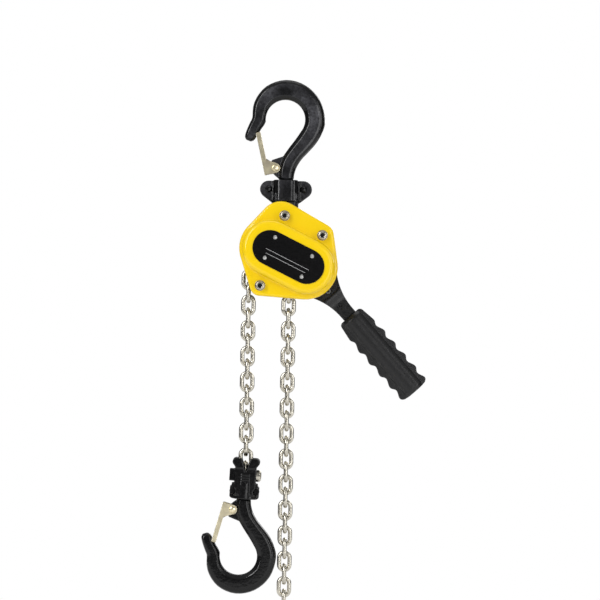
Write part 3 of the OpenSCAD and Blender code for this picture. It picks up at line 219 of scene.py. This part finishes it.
def clouds(tree, place, size_mm, detail=2.0, roughness=0.5):
    """A soft noise from 0 to 1 with features about size_mm across."""
    return add_node(tree, "ShaderNodeTexNoise", {
        "Vector": place, "Scale": per(size_mm), "Detail": detail, "Roughness": roughness,
    }).outputs["Fac"]


def mix(tree, amount, first, second):
    """Blends two colours by an amount from 0 to 1."""
    return add_node(tree, "ShaderNodeMix", {0: amount, 6: first, 7: second}, data_type="RGBA").outputs[2]


def combine(tree, operation, first, second):
    """One sum, product or other result of two numbers or sockets."""
    return add_node(tree, "ShaderNodeMath", {0: first, 1: second}, operation=operation).outputs[0]


def two_tone(tree, mask, low, high, first, second):
    """Blends two colours over the part of a mask between low and high."""
    amount = add_node(tree, "ShaderNodeMapRange", {
        "Value": mask, "From Min": low, "From Max": high,
    }).outputs[0]
    return mix(tree, amount, first, second)


def spread(tree, mask, low, high):
    """Stretches the middle of a noise to the values between low and high."""
    return add_node(tree, "ShaderNodeMapRange", {
        "Value": mask, "From Min": 0.3, "From Max": 0.7, "To Min": low, "To Max": high,
    }).outputs[0]


def relief(tree, heights):
    """Bumps in order, each (height socket, depth in mm, strength), as one normal."""
    normal = None
    for height, depth, strength in heights:
        inputs = {"Height": height, "Distance": depth * MM, "Strength": strength}
        if normal is not None:
            inputs["Normal"] = normal
        normal = add_node(tree, "ShaderNodeBump", inputs).outputs["Normal"]
    return normal


def shade(colour, factor):
    """A colour made lighter or darker."""
    return tuple(min(1, c * factor) for c in colour)


def cover_enamel(colours):
    # Stove enamel on pressed steel: a hard glossy coat, faint orange peel, a little deeper where it is thick
    made, tree, place = start_finish("yellow stove enamel on pressed steel")
    paint = tuple(colours.cover)
    drift = clouds(tree, place, 26, 1)
    close_finish(tree, {
        "Base Color": two_tone(tree, drift, 0.3, 0.7, shade(paint, 0.965), paint),
        "Roughness": spread(tree, clouds(tree, place, 9), 0.16, 0.22),
        "IOR": 1.5,
        "Normal": relief(tree, [(clouds(tree, place, 1.6, 1), 0.02, 0.5)]),
    })
    return made


def enamel_over_forging(colours, name, flats):
    """Gloss that follows the pitted, rolling scale below and a faint flash line, with a painted grey
    highlight on the flats that face front and back.
    """
    made, tree, place = start_finish(name)
    paint = tuple(colours.forging)
    # The flats parallel to the parting plane, which face front and back, are found by the surface's own
    # normal and carry a painted highlight
    normal = add_node(tree, "ShaderNodeTexCoord").outputs["Normal"]
    facing = add_node(tree, "ShaderNodeSeparateXYZ", {0: normal}).outputs["Y"]
    flat = add_node(tree, "ShaderNodeMapRange", {
        "Value": add_node(tree, "ShaderNodeMath", {0: facing}, operation="ABSOLUTE").outputs[0],
        "From Min": 0.9, "From Max": 0.985,
    }, interpolation_type="SMOOTHSTEP").outputs[0]
    patches = combine(
        tree, "MULTIPLY",
        spread(tree, clouds(tree, place, 19, 1), 0.12, 1.1),
        spread(tree, clouds(tree, place, 2.6, 4, 0.7), 0.2, 1.1))
    # Painted highlight: the flats lighten in noisy patches toward the highlight colour
    painted_highlight_amount = combine(tree, "MULTIPLY", flat, patches)
    paint_tone = two_tone(tree, clouds(tree, place, 6), 0.35, 0.7, paint, shade(paint, 1.6))
    across = add_node(tree, "ShaderNodeSeparateXYZ", {0: place}).outputs["Y"]
    off_line = add_node(tree, "ShaderNodeMath", {0: across}, operation="ABSOLUTE").outputs[0]
    flash = add_node(tree, "ShaderNodeMapRange", {
        "Value": off_line, "From Min": 0.0002, "From Max": 0.0007, "To Min": 1, "To Max": 0,
    }, interpolation_type="SMOOTHSTEP").outputs[0]
    close_finish(tree, {
        "Base Color": mix(tree, painted_highlight_amount, paint_tone, linear(flats)),
        "Roughness": spread(tree, clouds(tree, place, 3.5, 3), 0.12, 0.22),
        "IOR": 1.42,
        "Normal": relief(tree, [
            (clouds(tree, place, 6, 2), 0.34, 0.5),
            (clouds(tree, place, 2.2, 2, 0.6), 0.2, 0.5),
            (flash, 0.12, 0.5),
        ]),
    })
    return made


def forging_enamel(colours):
    # Enamel over a drop forging, black, with a faint painted highlight on its front and back flats
    return enamel_over_forging(colours, "black enamel on forged steel", "0C0C0D")


def painted_highlight_enamel(colours):
    # The same enamel with a stronger painted highlight: grey patches painted on its front and back flats
    return enamel_over_forging(colours, "black enamel with painted highlight on forged steel", "4C4C50")


def pressing_enamel(colours):
    # Thin enamel on rolled sheet: satin, nearly flat, with a fine spray grain
    made, tree, place = start_finish("black satin enamel on pressed steel")
    paint = tuple(colours.lever)
    close_finish(tree, {
        "Base Color": two_tone(tree, clouds(tree, place, 12), 0.35, 0.65, paint, shade(paint, 1.3)),
        "Roughness": spread(tree, clouds(tree, place, 4, 3), 0.22, 0.32),
        "IOR": 1.5,
        "Normal": relief(tree, [(clouds(tree, place, 1.1, 2), 0.03, 0.5)]),
    })
    return made


def grip_rubber(colours):
    # Nitrile rubber moulded in a spark-eroded tool: a low satin with a fine even grain
    made, tree, place = start_finish("moulded nitrile rubber")
    base = tuple(colours.rubber)
    drift = clouds(tree, place, 14)
    # The real grain is about 0.15 mm; drawn at 0.6 mm so that it shows
    grain = clouds(tree, place, 0.6, 2, 0.6)
    close_finish(tree, {
        "Base Color": two_tone(tree, drift, 0.35, 0.65, shade(base, 0.88), shade(base, 1.12)),
        "Roughness": spread(tree, clouds(tree, place, 5), 0.36, 0.44),
        "IOR": 1.5,
        "Normal": relief(tree, [(clouds(tree, place, 9, 1), 0.2, 0.4), (grain, 0.05, 0.5)]),
    })
    return made


def ring_coat(colours):
    # Powder coat over a steel casting: matt, slightly pebbled
    made, tree, place = start_finish("dark grey powder coat on cast steel")
    base = tuple(colours.ring)
    close_finish(tree, {
        "Base Color": two_tone(tree, clouds(tree, place, 5), 0.35, 0.65, shade(base, 0.9), shade(base, 1.1)),
        "Roughness": spread(tree, clouds(tree, place, 3), 0.5, 0.62),
        "IOR": 1.5,
        "Normal": relief(tree, [(clouds(tree, place, 1.0, 2), 0.05, 0.6)]),
    })
    return made


def plated_zinc(colours):
    # Zinc electroplate, clear passivated: bright, a little warm, with cloudy brightness and fine pits
    made, tree, place = start_finish("zinc electroplate on steel")
    metal = tuple(colours.zinc)
    cloudy = clouds(tree, place, 3.2, 3)
    close_finish(tree, {
        "Base Color": two_tone(tree, cloudy, 0.3, 0.7, shade(metal, 0.8), metal),
        "Metallic": 1.0,
        "Roughness": spread(tree, clouds(tree, place, 2.4, 1), 0.19, 0.27),
        "Normal": relief(tree, [(clouds(tree, place, 1.8, 1), 0.03, 0.4)]),
    })
    return made


def yellow_passivation(colours):
    # Yellow chromate on zinc: pale gold that drifts to straw and faint violet where the film is thinner
    made, tree, place = start_finish("yellow chromated zinc on pressed steel")
    metal = tuple(colours.passivate)
    film = clouds(tree, place, 7, 2)
    gold = two_tone(tree, film, 0.35, 0.6, shade(metal, 0.85), metal)
    violet = add_node(tree, "ShaderNodeMapRange", {
        "Value": clouds(tree, place, 11, 2), "From Min": 0.58, "From Max": 0.75, "To Max": 0.35,
    }).outputs[0]
    close_finish(tree, {
        "Base Color": mix(tree, violet, gold, linear("B8A6A0")),
        "Metallic": 1.0,
        "Roughness": spread(tree, clouds(tree, place, 5, 1), 0.29, 0.35),
        "Normal": relief(tree, [(clouds(tree, place, 8, 1), 0.02, 0.3)]),
    })
    return made


def machined_steel(colours):
    # Turned and hobbed alloy steel under an oil film: grey, with close tool marks round the axis
    made, tree, place = start_finish("machined alloy steel")
    marks = add_node(tree, "ShaderNodeTexNoise", {
        "Vector": add_node(tree, "ShaderNodeMapping", {0: place, "Scale": (0.15, 3, 0.15)}).outputs[0],
        "Scale": per(1.2), "Detail": 2.0,
    }).outputs["Fac"]
    close_finish(tree, {
        "Base Color": two_tone(tree, clouds(tree, place, 5), 0.3, 0.7, linear("7E8084"), linear("96989B")),
        "Metallic": 1.0,
        "Roughness": spread(tree, marks, 0.24, 0.4),
        "Normal": relief(tree, [(marks, 0.02, 0.5)]),
    })
    return made


def spring_wire(colours):
    # Patented and drawn spring wire: dark grey with fine lengthwise scratches
    made, tree, place = start_finish("drawn spring steel")
    close_finish(tree, {
        "Base Color": two_tone(tree, clouds(tree, place, 1.5), 0.3, 0.7, linear("6E7074"), linear("888A8D")),
        "Metallic": 1.0,
        "Roughness": spread(tree, clouds(tree, place, 0.8), 0.26, 0.4),
    })
    return made


def sintered_bronze(colours):
    # Pressed and sintered bronze, oil filled: brown gold with open pores
    made, tree, place = start_finish("sintered bronze")
    pores = clouds(tree, place, 0.5, 3, 0.7)
    close_finish(tree, {
        "Base Color": two_tone(tree, pores, 0.35, 0.55, linear("7A5526"), linear("B98A4C")),
        "Metallic": 1.0,
        "Roughness": spread(tree, pores, 0.36, 0.55),
        "Normal": relief(tree, [(pores, 0.05, 0.6)]),
    })
    return made


def friction_lining(colours):
    # Compressed fibre and brass chips in resin: dull brown with bright flecks
    made, tree, place = start_finish("pressed friction lining")
    flecks = add_node(tree, "ShaderNodeTexVoronoi", {"Vector": place, "Scale": per(0.9)}).outputs["Distance"]
    close_finish(tree, {
        "Base Color": two_tone(tree, flecks, 0.05, 0.16, linear("A88A52"), linear("4A4038")),
        "Roughness": 0.72,
        "Normal": relief(tree, [(clouds(tree, place, 0.7, 3), 0.06, 0.6)]),
    })
    return made


def rivet_aluminium(colours):
    # Drawn aluminium drive rivets: pale satin
    made, tree, place = start_finish("satin aluminium")
    close_finish(tree, {
        "Base Color": two_tone(tree, clouds(tree, place, 1.2), 0.3, 0.7, linear("C2C2C0"), linear("DADAD8")),
        "Metallic": 1.0,
        "Roughness": spread(tree, clouds(tree, place, 0.6), 0.3, 0.42),
    })
    return made


def socket_shade_steel(colours):
    # Heat-treated steel at the bottom of a socket, where the plating bath hardly reaches: dull, and painted
    # dark as the shade inside the socket
    made, tree, place = start_finish("steel painted dark as socket shade")
    close_finish(tree, {
        "Base Color": two_tone(tree, clouds(tree, place, 1.2), 0.3, 0.7, linear("1C1B1A"), linear("2C2A28")),
        "Metallic": 0.6,
        "Roughness": 0.5,
    })
    return made


def anodised_plate(colours):
    # Black anodised aluminium plate, brushed lengthwise before dyeing
    made, tree, place = start_finish("black anodised brushed aluminium")
    turned = add_node(tree, "ShaderNodeMapping", {
        0: place, "Rotation": (0, math.radians(-26), 0), "Scale": (0.06, 1, 1),
    }).outputs[0]
    brush = add_node(tree, "ShaderNodeTexNoise", {
        "Vector": turned, "Scale": per(0.35), "Detail": 2.0,
    }).outputs["Fac"]
    close_finish(tree, {
        "Base Color": two_tone(tree, brush, 0.35, 0.7, linear("050506"), linear("0C0B0C")),
        "Roughness": spread(tree, brush, 0.16, 0.24),
        "IOR": 1.38,
        "Normal": relief(tree, [(brush, 0.008, 0.4)]),
    })
    return made


def silver_print(colours):
    # Bare aluminium left where the dye was masked
    made, tree, place = start_finish("undyed aluminium line")
    close_finish(tree, {
        "Base Color": two_tone(tree, clouds(tree, place, 0.8), 0.3, 0.7, linear("B0B0B2"), linear("CFCFD0")),
        "Metallic": 0.6,
        "Roughness": 0.42,
    })
    return made


FINISHES = {
    "yellow_enamel": cover_enamel,
    "black_enamel": forging_enamel,
    "painted_highlight_enamel": painted_highlight_enamel,
    "lever_enamel": pressing_enamel,
    "grip_rubber": grip_rubber,
    "dark_grey_enamel": ring_coat,
    "zinc": plated_zinc,
    "yellow_zinc": yellow_passivation,
    "steel": machined_steel,
    "spring_steel": spring_wire,
    "bronze": sintered_bronze,
    "friction_lining": friction_lining,
    # The socket finish is painted shade for the screws' recesses
    "socket": socket_shade_steel,
    "aluminium": rivet_aluminium,
    "nameplate_black": anodised_plate,
    "nameplate_line": silver_print,
}
made_finishes = {}


def finish(context, name):
    """The material of that name, made when it is first asked for."""
    if name not in made_finishes:
        made_finishes[name] = FINISHES[name](context.scene.hoist_colours)
    return made_finishes[name]


# ---------- pieces ----------
def coat(context, piece, name):
    """Gives a piece its finish on every face."""
    piece.data.materials.clear()
    piece.data.materials.append(finish(context, name))


def coat_nodes(context, name, *nodes):
    """Gives CAD nodes that stay as they are their finish."""
    for node in nodes:
        coat(context, frame["nodes"][node], name)


def body_of(node):
    """The body that a CAD node rides on."""
    for body, members in frame["record"]["behaviour"]["bodies"].items():
        if node in members:
            return body
    raise RuntimeError(f"node {node} is on no body")


def copy_node(node, name):
    """A welded copy of a CAD node's mesh, as a new piece."""
    bm = bmesh.new()
    bm.from_mesh(frame["nodes"][node].data)
    bmesh.ops.remove_doubles(bm, verts=bm.verts, dist=0.001 * MM)
    mesh = bpy.data.meshes.new(name)
    bm.to_mesh(mesh)
    bm.free()
    # The CAD's own shading marks go, because the new surface gets its own
    for mark in ("custom_normal", "sharp_edge", "sharp_face"):
        if mark in mesh.attributes:
            mesh.attributes.remove(mesh.attributes[mark])
    piece = bpy.data.objects.new(name, mesh)
    bpy.context.scene.collection.objects.link(piece)
    return piece


def apply_modifiers(piece):
    """Turns a piece's modifiers into its mesh."""
    graph = bpy.context.evaluated_depsgraph_get()
    made = bpy.data.meshes.new_from_object(piece.evaluated_get(graph))
    made.name = piece.name
    piece.modifiers.clear()
    piece.data = made


def seat(context, piece, node, name):
    """A finished piece that stands for a CAD node: its finish, body and the node it hides."""
    coat(context, piece, name)
    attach(piece, body_of(node))
    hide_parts(node)
    return piece


def blended_skin(context, node, name, cell, passes, finish_name):
    """A CAD node with its edges and corners run together, as forging, casting or moulding leaves them."""
    piece = copy_node(node, name)
    skin = piece.modifiers.new("Skin", "REMESH")
    skin.mode = "VOXEL"
    skin.voxel_size = cell
    skin.use_smooth_shade = True
    blend = piece.modifiers.new("Blend", "SMOOTH")
    blend.factor = 0.5
    blend.iterations = passes
    apply_modifiers(piece)
    return seat(context, piece, node, finish_name)


def broken_edges(context, node, name, width, finish_name, segments=2):
    """A CAD node with its sharp edges rounded by a narrow bevel."""
    piece = copy_node(node, name)
    bm = bmesh.new()
    bm.from_mesh(piece.data)
    bmesh.ops.dissolve_limit(
        bm, angle_limit=math.radians(0.6), verts=bm.verts, edges=bm.edges,
        use_dissolve_boundaries=False)
    edges = [e for e in bm.edges if len(e.link_faces) == 2 and e.calc_face_angle(0) > BEVEL_FROM]
    bmesh.ops.bevel(
        bm, geom=edges, offset=width, offset_type="OFFSET", segments=segments, profile=0.5,
        affect="EDGES", clamp_overlap=False, loop_slide=True, material=-1)
    bm.to_mesh(piece.data)
    bm.free()
    piece.data.shade_smooth()
    piece.data.set_sharp_from_angle(angle=SHARP_FROM)
    weighted = piece.modifiers.new("Flat faces", "WEIGHTED_NORMAL")
    weighted.keep_sharp = True
    apply_modifiers(piece)
    return seat(context, piece, node, finish_name)


def rounded_wire(context, node, name, finish_name):
    """A CAD wire form with its flats rounded by subdivision."""
    piece = copy_node(node, name)
    round_off = piece.modifiers.new("Round", "SUBSURF")
    round_off.levels = round_off.render_levels = 2
    piece.data.shade_smooth()
    apply_modifiers(piece)
    return seat(context, piece, node, finish_name)


def paint_socket_shade(context, piece):
    """Gives the faces inside the sockets of a group of screws, each along Y, a dark finish as painted shade.
    """
    piece.data.materials.append(finish(context, "socket"))
    bm = bmesh.new()
    bm.from_mesh(piece.data)
    left = set(bm.verts)
    while left:
        grown = [left.pop()]
        screw = list(grown)
        while grown:
            near = [e.other_vert(v) for v in grown for e in v.link_edges]
            grown = [v for v in set(near) if v in left]
            left.difference_update(grown)
            screw.extend(grown)
        x = (min(v.co.x for v in screw) + max(v.co.x for v in screw)) / 2
        z = (min(v.co.z for v in screw) + max(v.co.z for v in screw)) / 2
        face_y = min(v.co.y for v in screw)
        for f in {f for v in screw for f in v.link_faces}:
            c = f.calc_center_median()
            if math.hypot(c.x - x, c.z - z) < SOCKET_REACH and SOCKET_FROM < c.y - face_y < SOCKET_TO:
                f.material_index = 1
    bm.to_mesh(piece.data)
    bm.free()


class HOIST_OT_hooks(bpy.types.Operator):
    """Makes the two drop-forged hooks with their eyes and shanks"""

    bl_idname = "hoist.hooks"
    bl_label = "Forged hooks"

    def execute(self, context):
        cell = context.scene.hoist_sizes.forging_cell
        # The upper hook gets the enamel with the stronger painted highlight
        blended_skin(context, "top_hook", "top_hook_forging", cell, FORGED_PASSES, "painted_highlight_enamel")
        blended_skin(context, "bottom_hook", "bottom_hook_forging", cell, FORGED_PASSES, "black_enamel")
        return {"FINISHED"}


class HOIST_OT_yokes(bpy.types.Operator):
    """Makes the halves of the two yokes and coats their bolts and rivets"""

    bl_idname = "hoist.yokes"
    bl_label = "Cast yokes"

    def execute(self, context):
        cell = context.scene.hoist_sizes.forging_cell
        # The upper yoke gets the enamel with the stronger painted highlight
        for end, enamel in (("top", "painted_highlight_enamel"), ("bottom", "black_enamel")):
            for side in ("front", "back"):
                node = f"{end}_yoke_{side}"
                blended_skin(context, node, node + "_casting", cell, CAST_PASSES, enamel)
        coat_nodes(context, "black_enamel", "top_yoke_rivets", "bottom_yoke_bolts")
        coat_nodes(context, "zinc", "chain_pin", "chain_pin_nut")
        return {"FINISHED"}


class HOIST_OT_latches(bpy.types.Operator):
    """Makes the two pressed latches, their rivets and their springs"""

    bl_idname = "hoist.latches"
    bl_label = "Pressed latches"

    def execute(self, context):
        edge = context.scene.hoist_sizes.broken_edge
        for end in ("top", "bottom"):
            broken_edges(context, end + "_latch", end + "_latch_pressing", edge, "yellow_zinc")
            rounded_wire(context, end + "_latch_spring", end + "_latch_spring_wire", "spring_steel")
        coat_nodes(context, "yellow_zinc", "top_latch_rivet", "bottom_latch_rivet")
        return {"FINISHED"}


class HOIST_OT_covers(bpy.types.Operator):
    """Makes the enamelled gear cover and brake cover"""

    bl_idname = "hoist.covers"
    bl_label = "Enamelled covers"

    def execute(self, context):
        cell = context.scene.hoist_sizes.sheet_cell
        for node in ("gear_cover", "brake_cover"):
            blended_skin(context, node, node + "_pressing", cell, FORGED_PASSES, "yellow_enamel")
        return {"FINISHED"}


class HOIST_OT_nameplate(bpy.types.Operator):
    """Finishes the bare nameplate and its rivets, and lays two blank ruled lines in it"""

    bl_idname = "hoist.nameplate"
    bl_label = "Blank nameplate"

    def execute(self, context):
        edge = context.scene.hoist_sizes.broken_edge
        broken_edges(context, "nameplate", "nameplate_blank", edge, "nameplate_black")
        coat_nodes(context, "aluminium", "nameplate_rivets")
        low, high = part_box("nameplate")
        centre = (low + high) / 2
        place = Matrix.Translation(Vector((centre.x, low.y, centre.z))) @ Matrix.Rotation(PLATE_TILT, 4, "Y")
        upright = Matrix.Rotation(math.radians(90), 3, "X")
        bm = bmesh.new()
        # Two blank lines below the middle of the plate, where an owner would write
        for down, half_length in PLATE_LINES:
            made = bmesh.ops.create_grid(bm, x_segments=2, y_segments=1, size=0.5)["verts"]
            bmesh.ops.scale(bm, vec=(2 * half_length * MM, LINE_WIDTH, 1), verts=made)
            bmesh.ops.rotate(bm, cent=(0, 0, 0), matrix=upright, verts=made)
            bmesh.ops.translate(bm, vec=(0, 0, -down * MM), verts=made)
        raised = bmesh.ops.extrude_face_region(bm, geom=list(bm.faces))["geom"]
        bmesh.ops.translate(
            bm, vec=(0, -LINE_HEIGHT, 0), verts=[g for g in raised if isinstance(g, bmesh.types.BMVert)])
        bmesh.ops.transform(bm, matrix=place, verts=bm.verts)
        bmesh.ops.recalc_face_normals(bm, faces=bm.faces)
        mesh = bpy.data.meshes.new("nameplate_lines")
        bm.to_mesh(mesh)
        bm.free()
        lines = bpy.data.objects.new("nameplate_lines", mesh)
        context.scene.collection.objects.link(lines)
        coat(context, lines, "nameplate_line")
        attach(lines, body_of("nameplate"))
        return {"FINISHED"}


class HOIST_OT_chain(bpy.types.Operator):
    """Plates the links of the load chain, the slack chain and the links on the wheel"""

    bl_idname = "hoist.chain"
    bl_label = "Plated chain"

    def execute(self, context):
        coat_nodes(context, "zinc", "load_chain", "slack_chain", "sheave_chain", "chain_guide")
        return {"FINISHED"}


class HOIST_OT_lever(bpy.types.Operator):
    """Makes the pressed lever, its back plate and its selector"""

    bl_idname = "hoist.lever"
    bl_label = "Pressed lever"

    def execute(self, context):
        edge = context.scene.hoist_sizes.broken_edge
        broken_edges(
            context, "lever_arm", "lever_arm_pressing", edge * 2.4, "lever_enamel", segments=3)
        broken_edges(
            context, "lever_back_plate", "lever_back_plate_pressing", edge * 1.6, "lever_enamel")
        broken_edges(context, "selector", "selector_knob", edge * 1.6, "lever_enamel")
        coat_nodes(context, "lever_enamel", "lever_screws")
        coat_nodes(context, "steel", "change_pawl")
        return {"FINISHED"}


class HOIST_OT_grip(bpy.types.Operator):
    """Moulds the rubber grip with its finger waves"""

    bl_idname = "hoist.grip"
    bl_label = "Rubber grip"

    def execute(self, context):
        cell = context.scene.hoist_sizes.forging_cell * 1.25
        blended_skin(context, "lever_grip", "lever_grip_moulding", cell, MOULDED_PASSES, "grip_rubber")
        return {"FINISHED"}


class HOIST_OT_frame(bpy.types.Operator):
    """Finishes the side plates, stays, screws, washers and nuts"""

    bl_idname = "hoist.frame"
    bl_label = "Plates and fasteners"

    def execute(self, context):
        edge = context.scene.hoist_sizes.broken_edge
        broken_edges(context, "side_plate_front", "side_plate_front_blank", edge * 1.5, "zinc")
        broken_edges(context, "side_plate_back", "side_plate_back_blank", edge * 1.5, "zinc")
        screws = broken_edges(context, "cover_screws", "cover_screws_socket", edge * 1.6, "zinc")
        # Painted shade inside the hexagon sockets
        paint_socket_shade(context, screws)
        broken_edges(context, "cover_washers", "cover_washers_pressed", edge * 0.8, "zinc")
        coat_nodes(context, "zinc", "stay_nuts", "brake_cover_screws")
        coat_nodes(context, "steel", "stay_spacers")
        return {"FINISHED"}


class HOIST_OT_drive(bpy.types.Operator):
    """Finishes the sheave, the gears, the brake and their bearings"""

    bl_idname = "hoist.drive"
    bl_label = "Gears and brake"

    def execute(self, context):
        coat_nodes(
            context, "steel", "load_sheave", "load_gear", "pinion_shaft", "friction_hub",
            "ratchet_wheel", "pawl_upper", "pawl_lower", "pawl_pins", "change_gear")
        coat_nodes(
            context, "bronze", "sheave_bush_front", "sheave_bush_back", "shaft_bush_front",
            "shaft_bush_back")
        coat_nodes(context, "friction_lining", "friction_disc_front", "friction_disc_back")
        coat_nodes(context, "spring_steel", "pawl_springs", "sheave_ring")
        coat_nodes(context, "zinc", "shaft_nut")
        return {"FINISHED"}


class HOIST_OT_handwheel(bpy.types.Operator):
    """Makes the cast handwheel with its finger scallops"""

    bl_idname = "hoist.handwheel"
    bl_label = "Handwheel"

    def execute(self, context):
        cell = context.scene.hoist_sizes.forging_cell
        blended_skin(context, "handwheel", "handwheel_casting", cell, CAST_PASSES, "lever_enamel")
        return {"FINISHED"}


class HOIST_OT_tail_ring(bpy.types.Operator):
    """Makes the coated tail ring and its cross pin"""

    bl_idname = "hoist.tail_ring"
    bl_label = "Tail ring"

    def execute(self, context):
        cell = context.scene.hoist_sizes.forging_cell * 0.9
        blended_skin(context, "tail_ring", "tail_ring_casting", cell, FORGED_PASSES, "dark_grey_enamel")
        coat_nodes(context, "zinc", "tail_pin")
        return {"FINISHED"}


# ---------- stage ----------
def studio_floor(context, low_z):
    """A round pale floor that keeps the shadow near the hoist and fades to white further out."""
    bm = bmesh.new()
    bmesh.ops.create_circle(bm, cap_ends=True, cap_tris=False, segments=96, radius=FLOOR_RADIUS)
    bmesh.ops.translate(bm, vec=(0, 0, low_z - FLOOR_DROP), verts=bm.verts)
    mesh = bpy.data.meshes.new("studio_floor")
    bm.to_mesh(mesh)
    bm.free()
    floor = bpy.data.objects.new("studio_floor", mesh)
    context.scene.collection.objects.link(floor)
    made, tree, place = start_finish("matt white floor paint")
    flat = add_node(tree, "ShaderNodeMapping", {0: place, "Scale": (1, 1, 0)}).outputs[0]
    reach = add_node(tree, "ShaderNodeVectorMath", {0: flat}, operation="LENGTH").outputs["Value"]
    far = add_node(tree, "ShaderNodeMapRange", {
        "Value": reach, "From Min": FADE_FROM, "From Max": FADE_TO,
    }, interpolation_type="SMOOTHERSTEP").outputs[0]
    rays = add_node(tree, "ShaderNodeLightPath").outputs
    seen = combine(tree, "MAXIMUM", rays["Is Camera Ray"], rays["Is Glossy Ray"])
    seen = combine(tree, "MAXIMUM", seen, rays["Is Transmission Ray"])
    white = combine(tree, "MULTIPLY", far, seen)
    paint = add_node(tree, "ShaderNodeBsdfPrincipled", {
        "Base Color": tuple(context.scene.hoist_colours.floor), "Roughness": 0.8,
        "Specular IOR Level": 0.2,
    }).outputs[0]
    glow = add_node(tree, "ShaderNodeEmission", {"Color": (1, 1, 1), "Strength": 1}).outputs[0]
    mixed = add_node(tree, "ShaderNodeMixShader", {0: white, 1: paint, 2: glow}).outputs[0]
    add_node(tree, "ShaderNodeOutputMaterial", {"Surface": mixed})
    floor.data.materials.append(made)


def studio_world(context):
    """White behind the hoist, a bright ceiling for gloss and a level light for everything dull."""
    world = bpy.data.worlds.new("studio")
    context.scene.world = world
    world.use_nodes = True
    tree = world.node_tree
    tree.nodes.clear()
    rays = add_node(tree, "ShaderNodeLightPath").outputs
    direction = add_node(tree, "ShaderNodeTexCoord").outputs["Generated"]
    height = add_node(tree, "ShaderNodeSeparateXYZ", {0: direction}).outputs["Z"]
    ceiling = add_node(tree, "ShaderNodeMapRange", {
        "Value": height, "From Min": 0.25, "From Max": 0.9, "To Min": HORIZON, "To Max": ZENITH,
    }, interpolation_type="SMOOTHSTEP").outputs[0]
    gloss = combine(tree, "MULTIPLY", ceiling, rays["Is Glossy Ray"])
    dull = combine(tree, "MULTIPLY", LEVEL_LIGHT, rays["Is Diffuse Ray"])
    seen = combine(tree, "MAXIMUM", rays["Is Camera Ray"], rays["Is Transmission Ray"])
    strength = combine(tree, "MAXIMUM", combine(tree, "MAXIMUM", seen, gloss), dull)
    back = add_node(tree, "ShaderNodeBackground", {"Color": (1, 1, 1), "Strength": strength}).outputs[0]
    add_node(tree, "ShaderNodeOutputWorld", {"Surface": back})


def soft_box(context, name, place, width, height, power):
    """A rectangular lamp at place, facing the hoist."""
    lamp = bpy.data.lights.new(name, "AREA")
    lamp.shape = "RECTANGLE"
    lamp.size = width
    lamp.size_y = height
    lamp.energy = power
    box = bpy.data.objects.new(name, lamp)
    context.scene.collection.objects.link(box)
    box.location = place
    box.rotation_euler = (Vector(LAMP_AIM) - Vector(place)).to_track_quat("-Z", "Y").to_euler()


class HOIST_OT_stage(bpy.types.Operator):
    """Sets the floor, the world, the lamps and the camera"""

    bl_idname = "hoist.stage"
    bl_label = "Studio stage"

    def execute(self, context):
        scene = context.scene
        sizes = scene.hoist_sizes
        studio_floor(context, CAD_LOW.z)
        studio_world(context)
        for name, (place, width, height, power) in LAMPS.items():
            soft_box(context, name, place, width, height, power)
        lens = bpy.data.cameras.new("camera")
        lens.sensor_width = SENSOR_WIDTH
        lens.lens = lens.sensor_width * sizes.camera_distance / sizes.view_width
        lens.clip_start, lens.clip_end = 0.1, 40
        camera = bpy.data.objects.new("camera", lens)
        scene.collection.objects.link(camera)
        turn = sizes.camera_roll
        camera.matrix_world = Matrix((
            (math.cos(turn), -math.sin(turn), 0, CAMERA_X),
            (0, 0, -1, -sizes.camera_distance),
            (math.sin(turn), math.cos(turn), 0, CAMERA_Z),
            (0, 0, 0, 1),
        ))
        scene.camera = camera
        scene.view_settings.view_transform = "Standard"
        return {"FINISHED"}


class HOIST_PT_panel(bpy.types.Panel):
    """Lists the pieces of the hoist and their settings"""

    bl_idname = "HOIST_PT_panel"
    bl_label = "Lever chain hoist"
    bl_space_type = "VIEW_3D"
    bl_region_type = "UI"
    bl_category = "Hoist"

    def draw(self, context):
        column = self.layout.column()
        for operator in OPERATORS:
            column.operator(operator.bl_idname)
        for group in (context.scene.hoist_colours, context.scene.hoist_sizes):
            box = self.layout.box().column()
            for name in group.__annotations__:
                box.prop(group, name)


OPERATORS = (
    HOIST_OT_stage, HOIST_OT_hooks, HOIST_OT_yokes, HOIST_OT_latches, HOIST_OT_covers, HOIST_OT_nameplate,
    HOIST_OT_chain, HOIST_OT_lever, HOIST_OT_grip, HOIST_OT_frame, HOIST_OT_drive, HOIST_OT_handwheel,
    HOIST_OT_tail_ring,
)
CLASSES = (HoistColours, HoistSizes, *OPERATORS, HOIST_PT_panel)


def register():
    for made in CLASSES:
        bpy.utils.register_class(made)
    bpy.types.Scene.hoist_colours = bpy.props.PointerProperty(type=HoistColours)
    bpy.types.Scene.hoist_sizes = bpy.props.PointerProperty(type=HoistSizes)


def unregister():
    del bpy.types.Scene.hoist_colours
    del bpy.types.Scene.hoist_sizes
    for made in reversed(CLASSES):
        bpy.utils.unregister_class(made)


def main():
    register()
    bpy.ops.hoist.stage()
    bpy.ops.hoist.hooks()
    bpy.ops.hoist.yokes()
    bpy.ops.hoist.latches()
    bpy.ops.hoist.covers()
    bpy.ops.hoist.nameplate()
    bpy.ops.hoist.chain()
    bpy.ops.hoist.lever()
    bpy.ops.hoist.grip()
    bpy.ops.hoist.frame()
    bpy.ops.hoist.drive()
    bpy.ops.hoist.handwheel()
    bpy.ops.hoist.tail_ring()


if __name__ == "__main__":
    main()
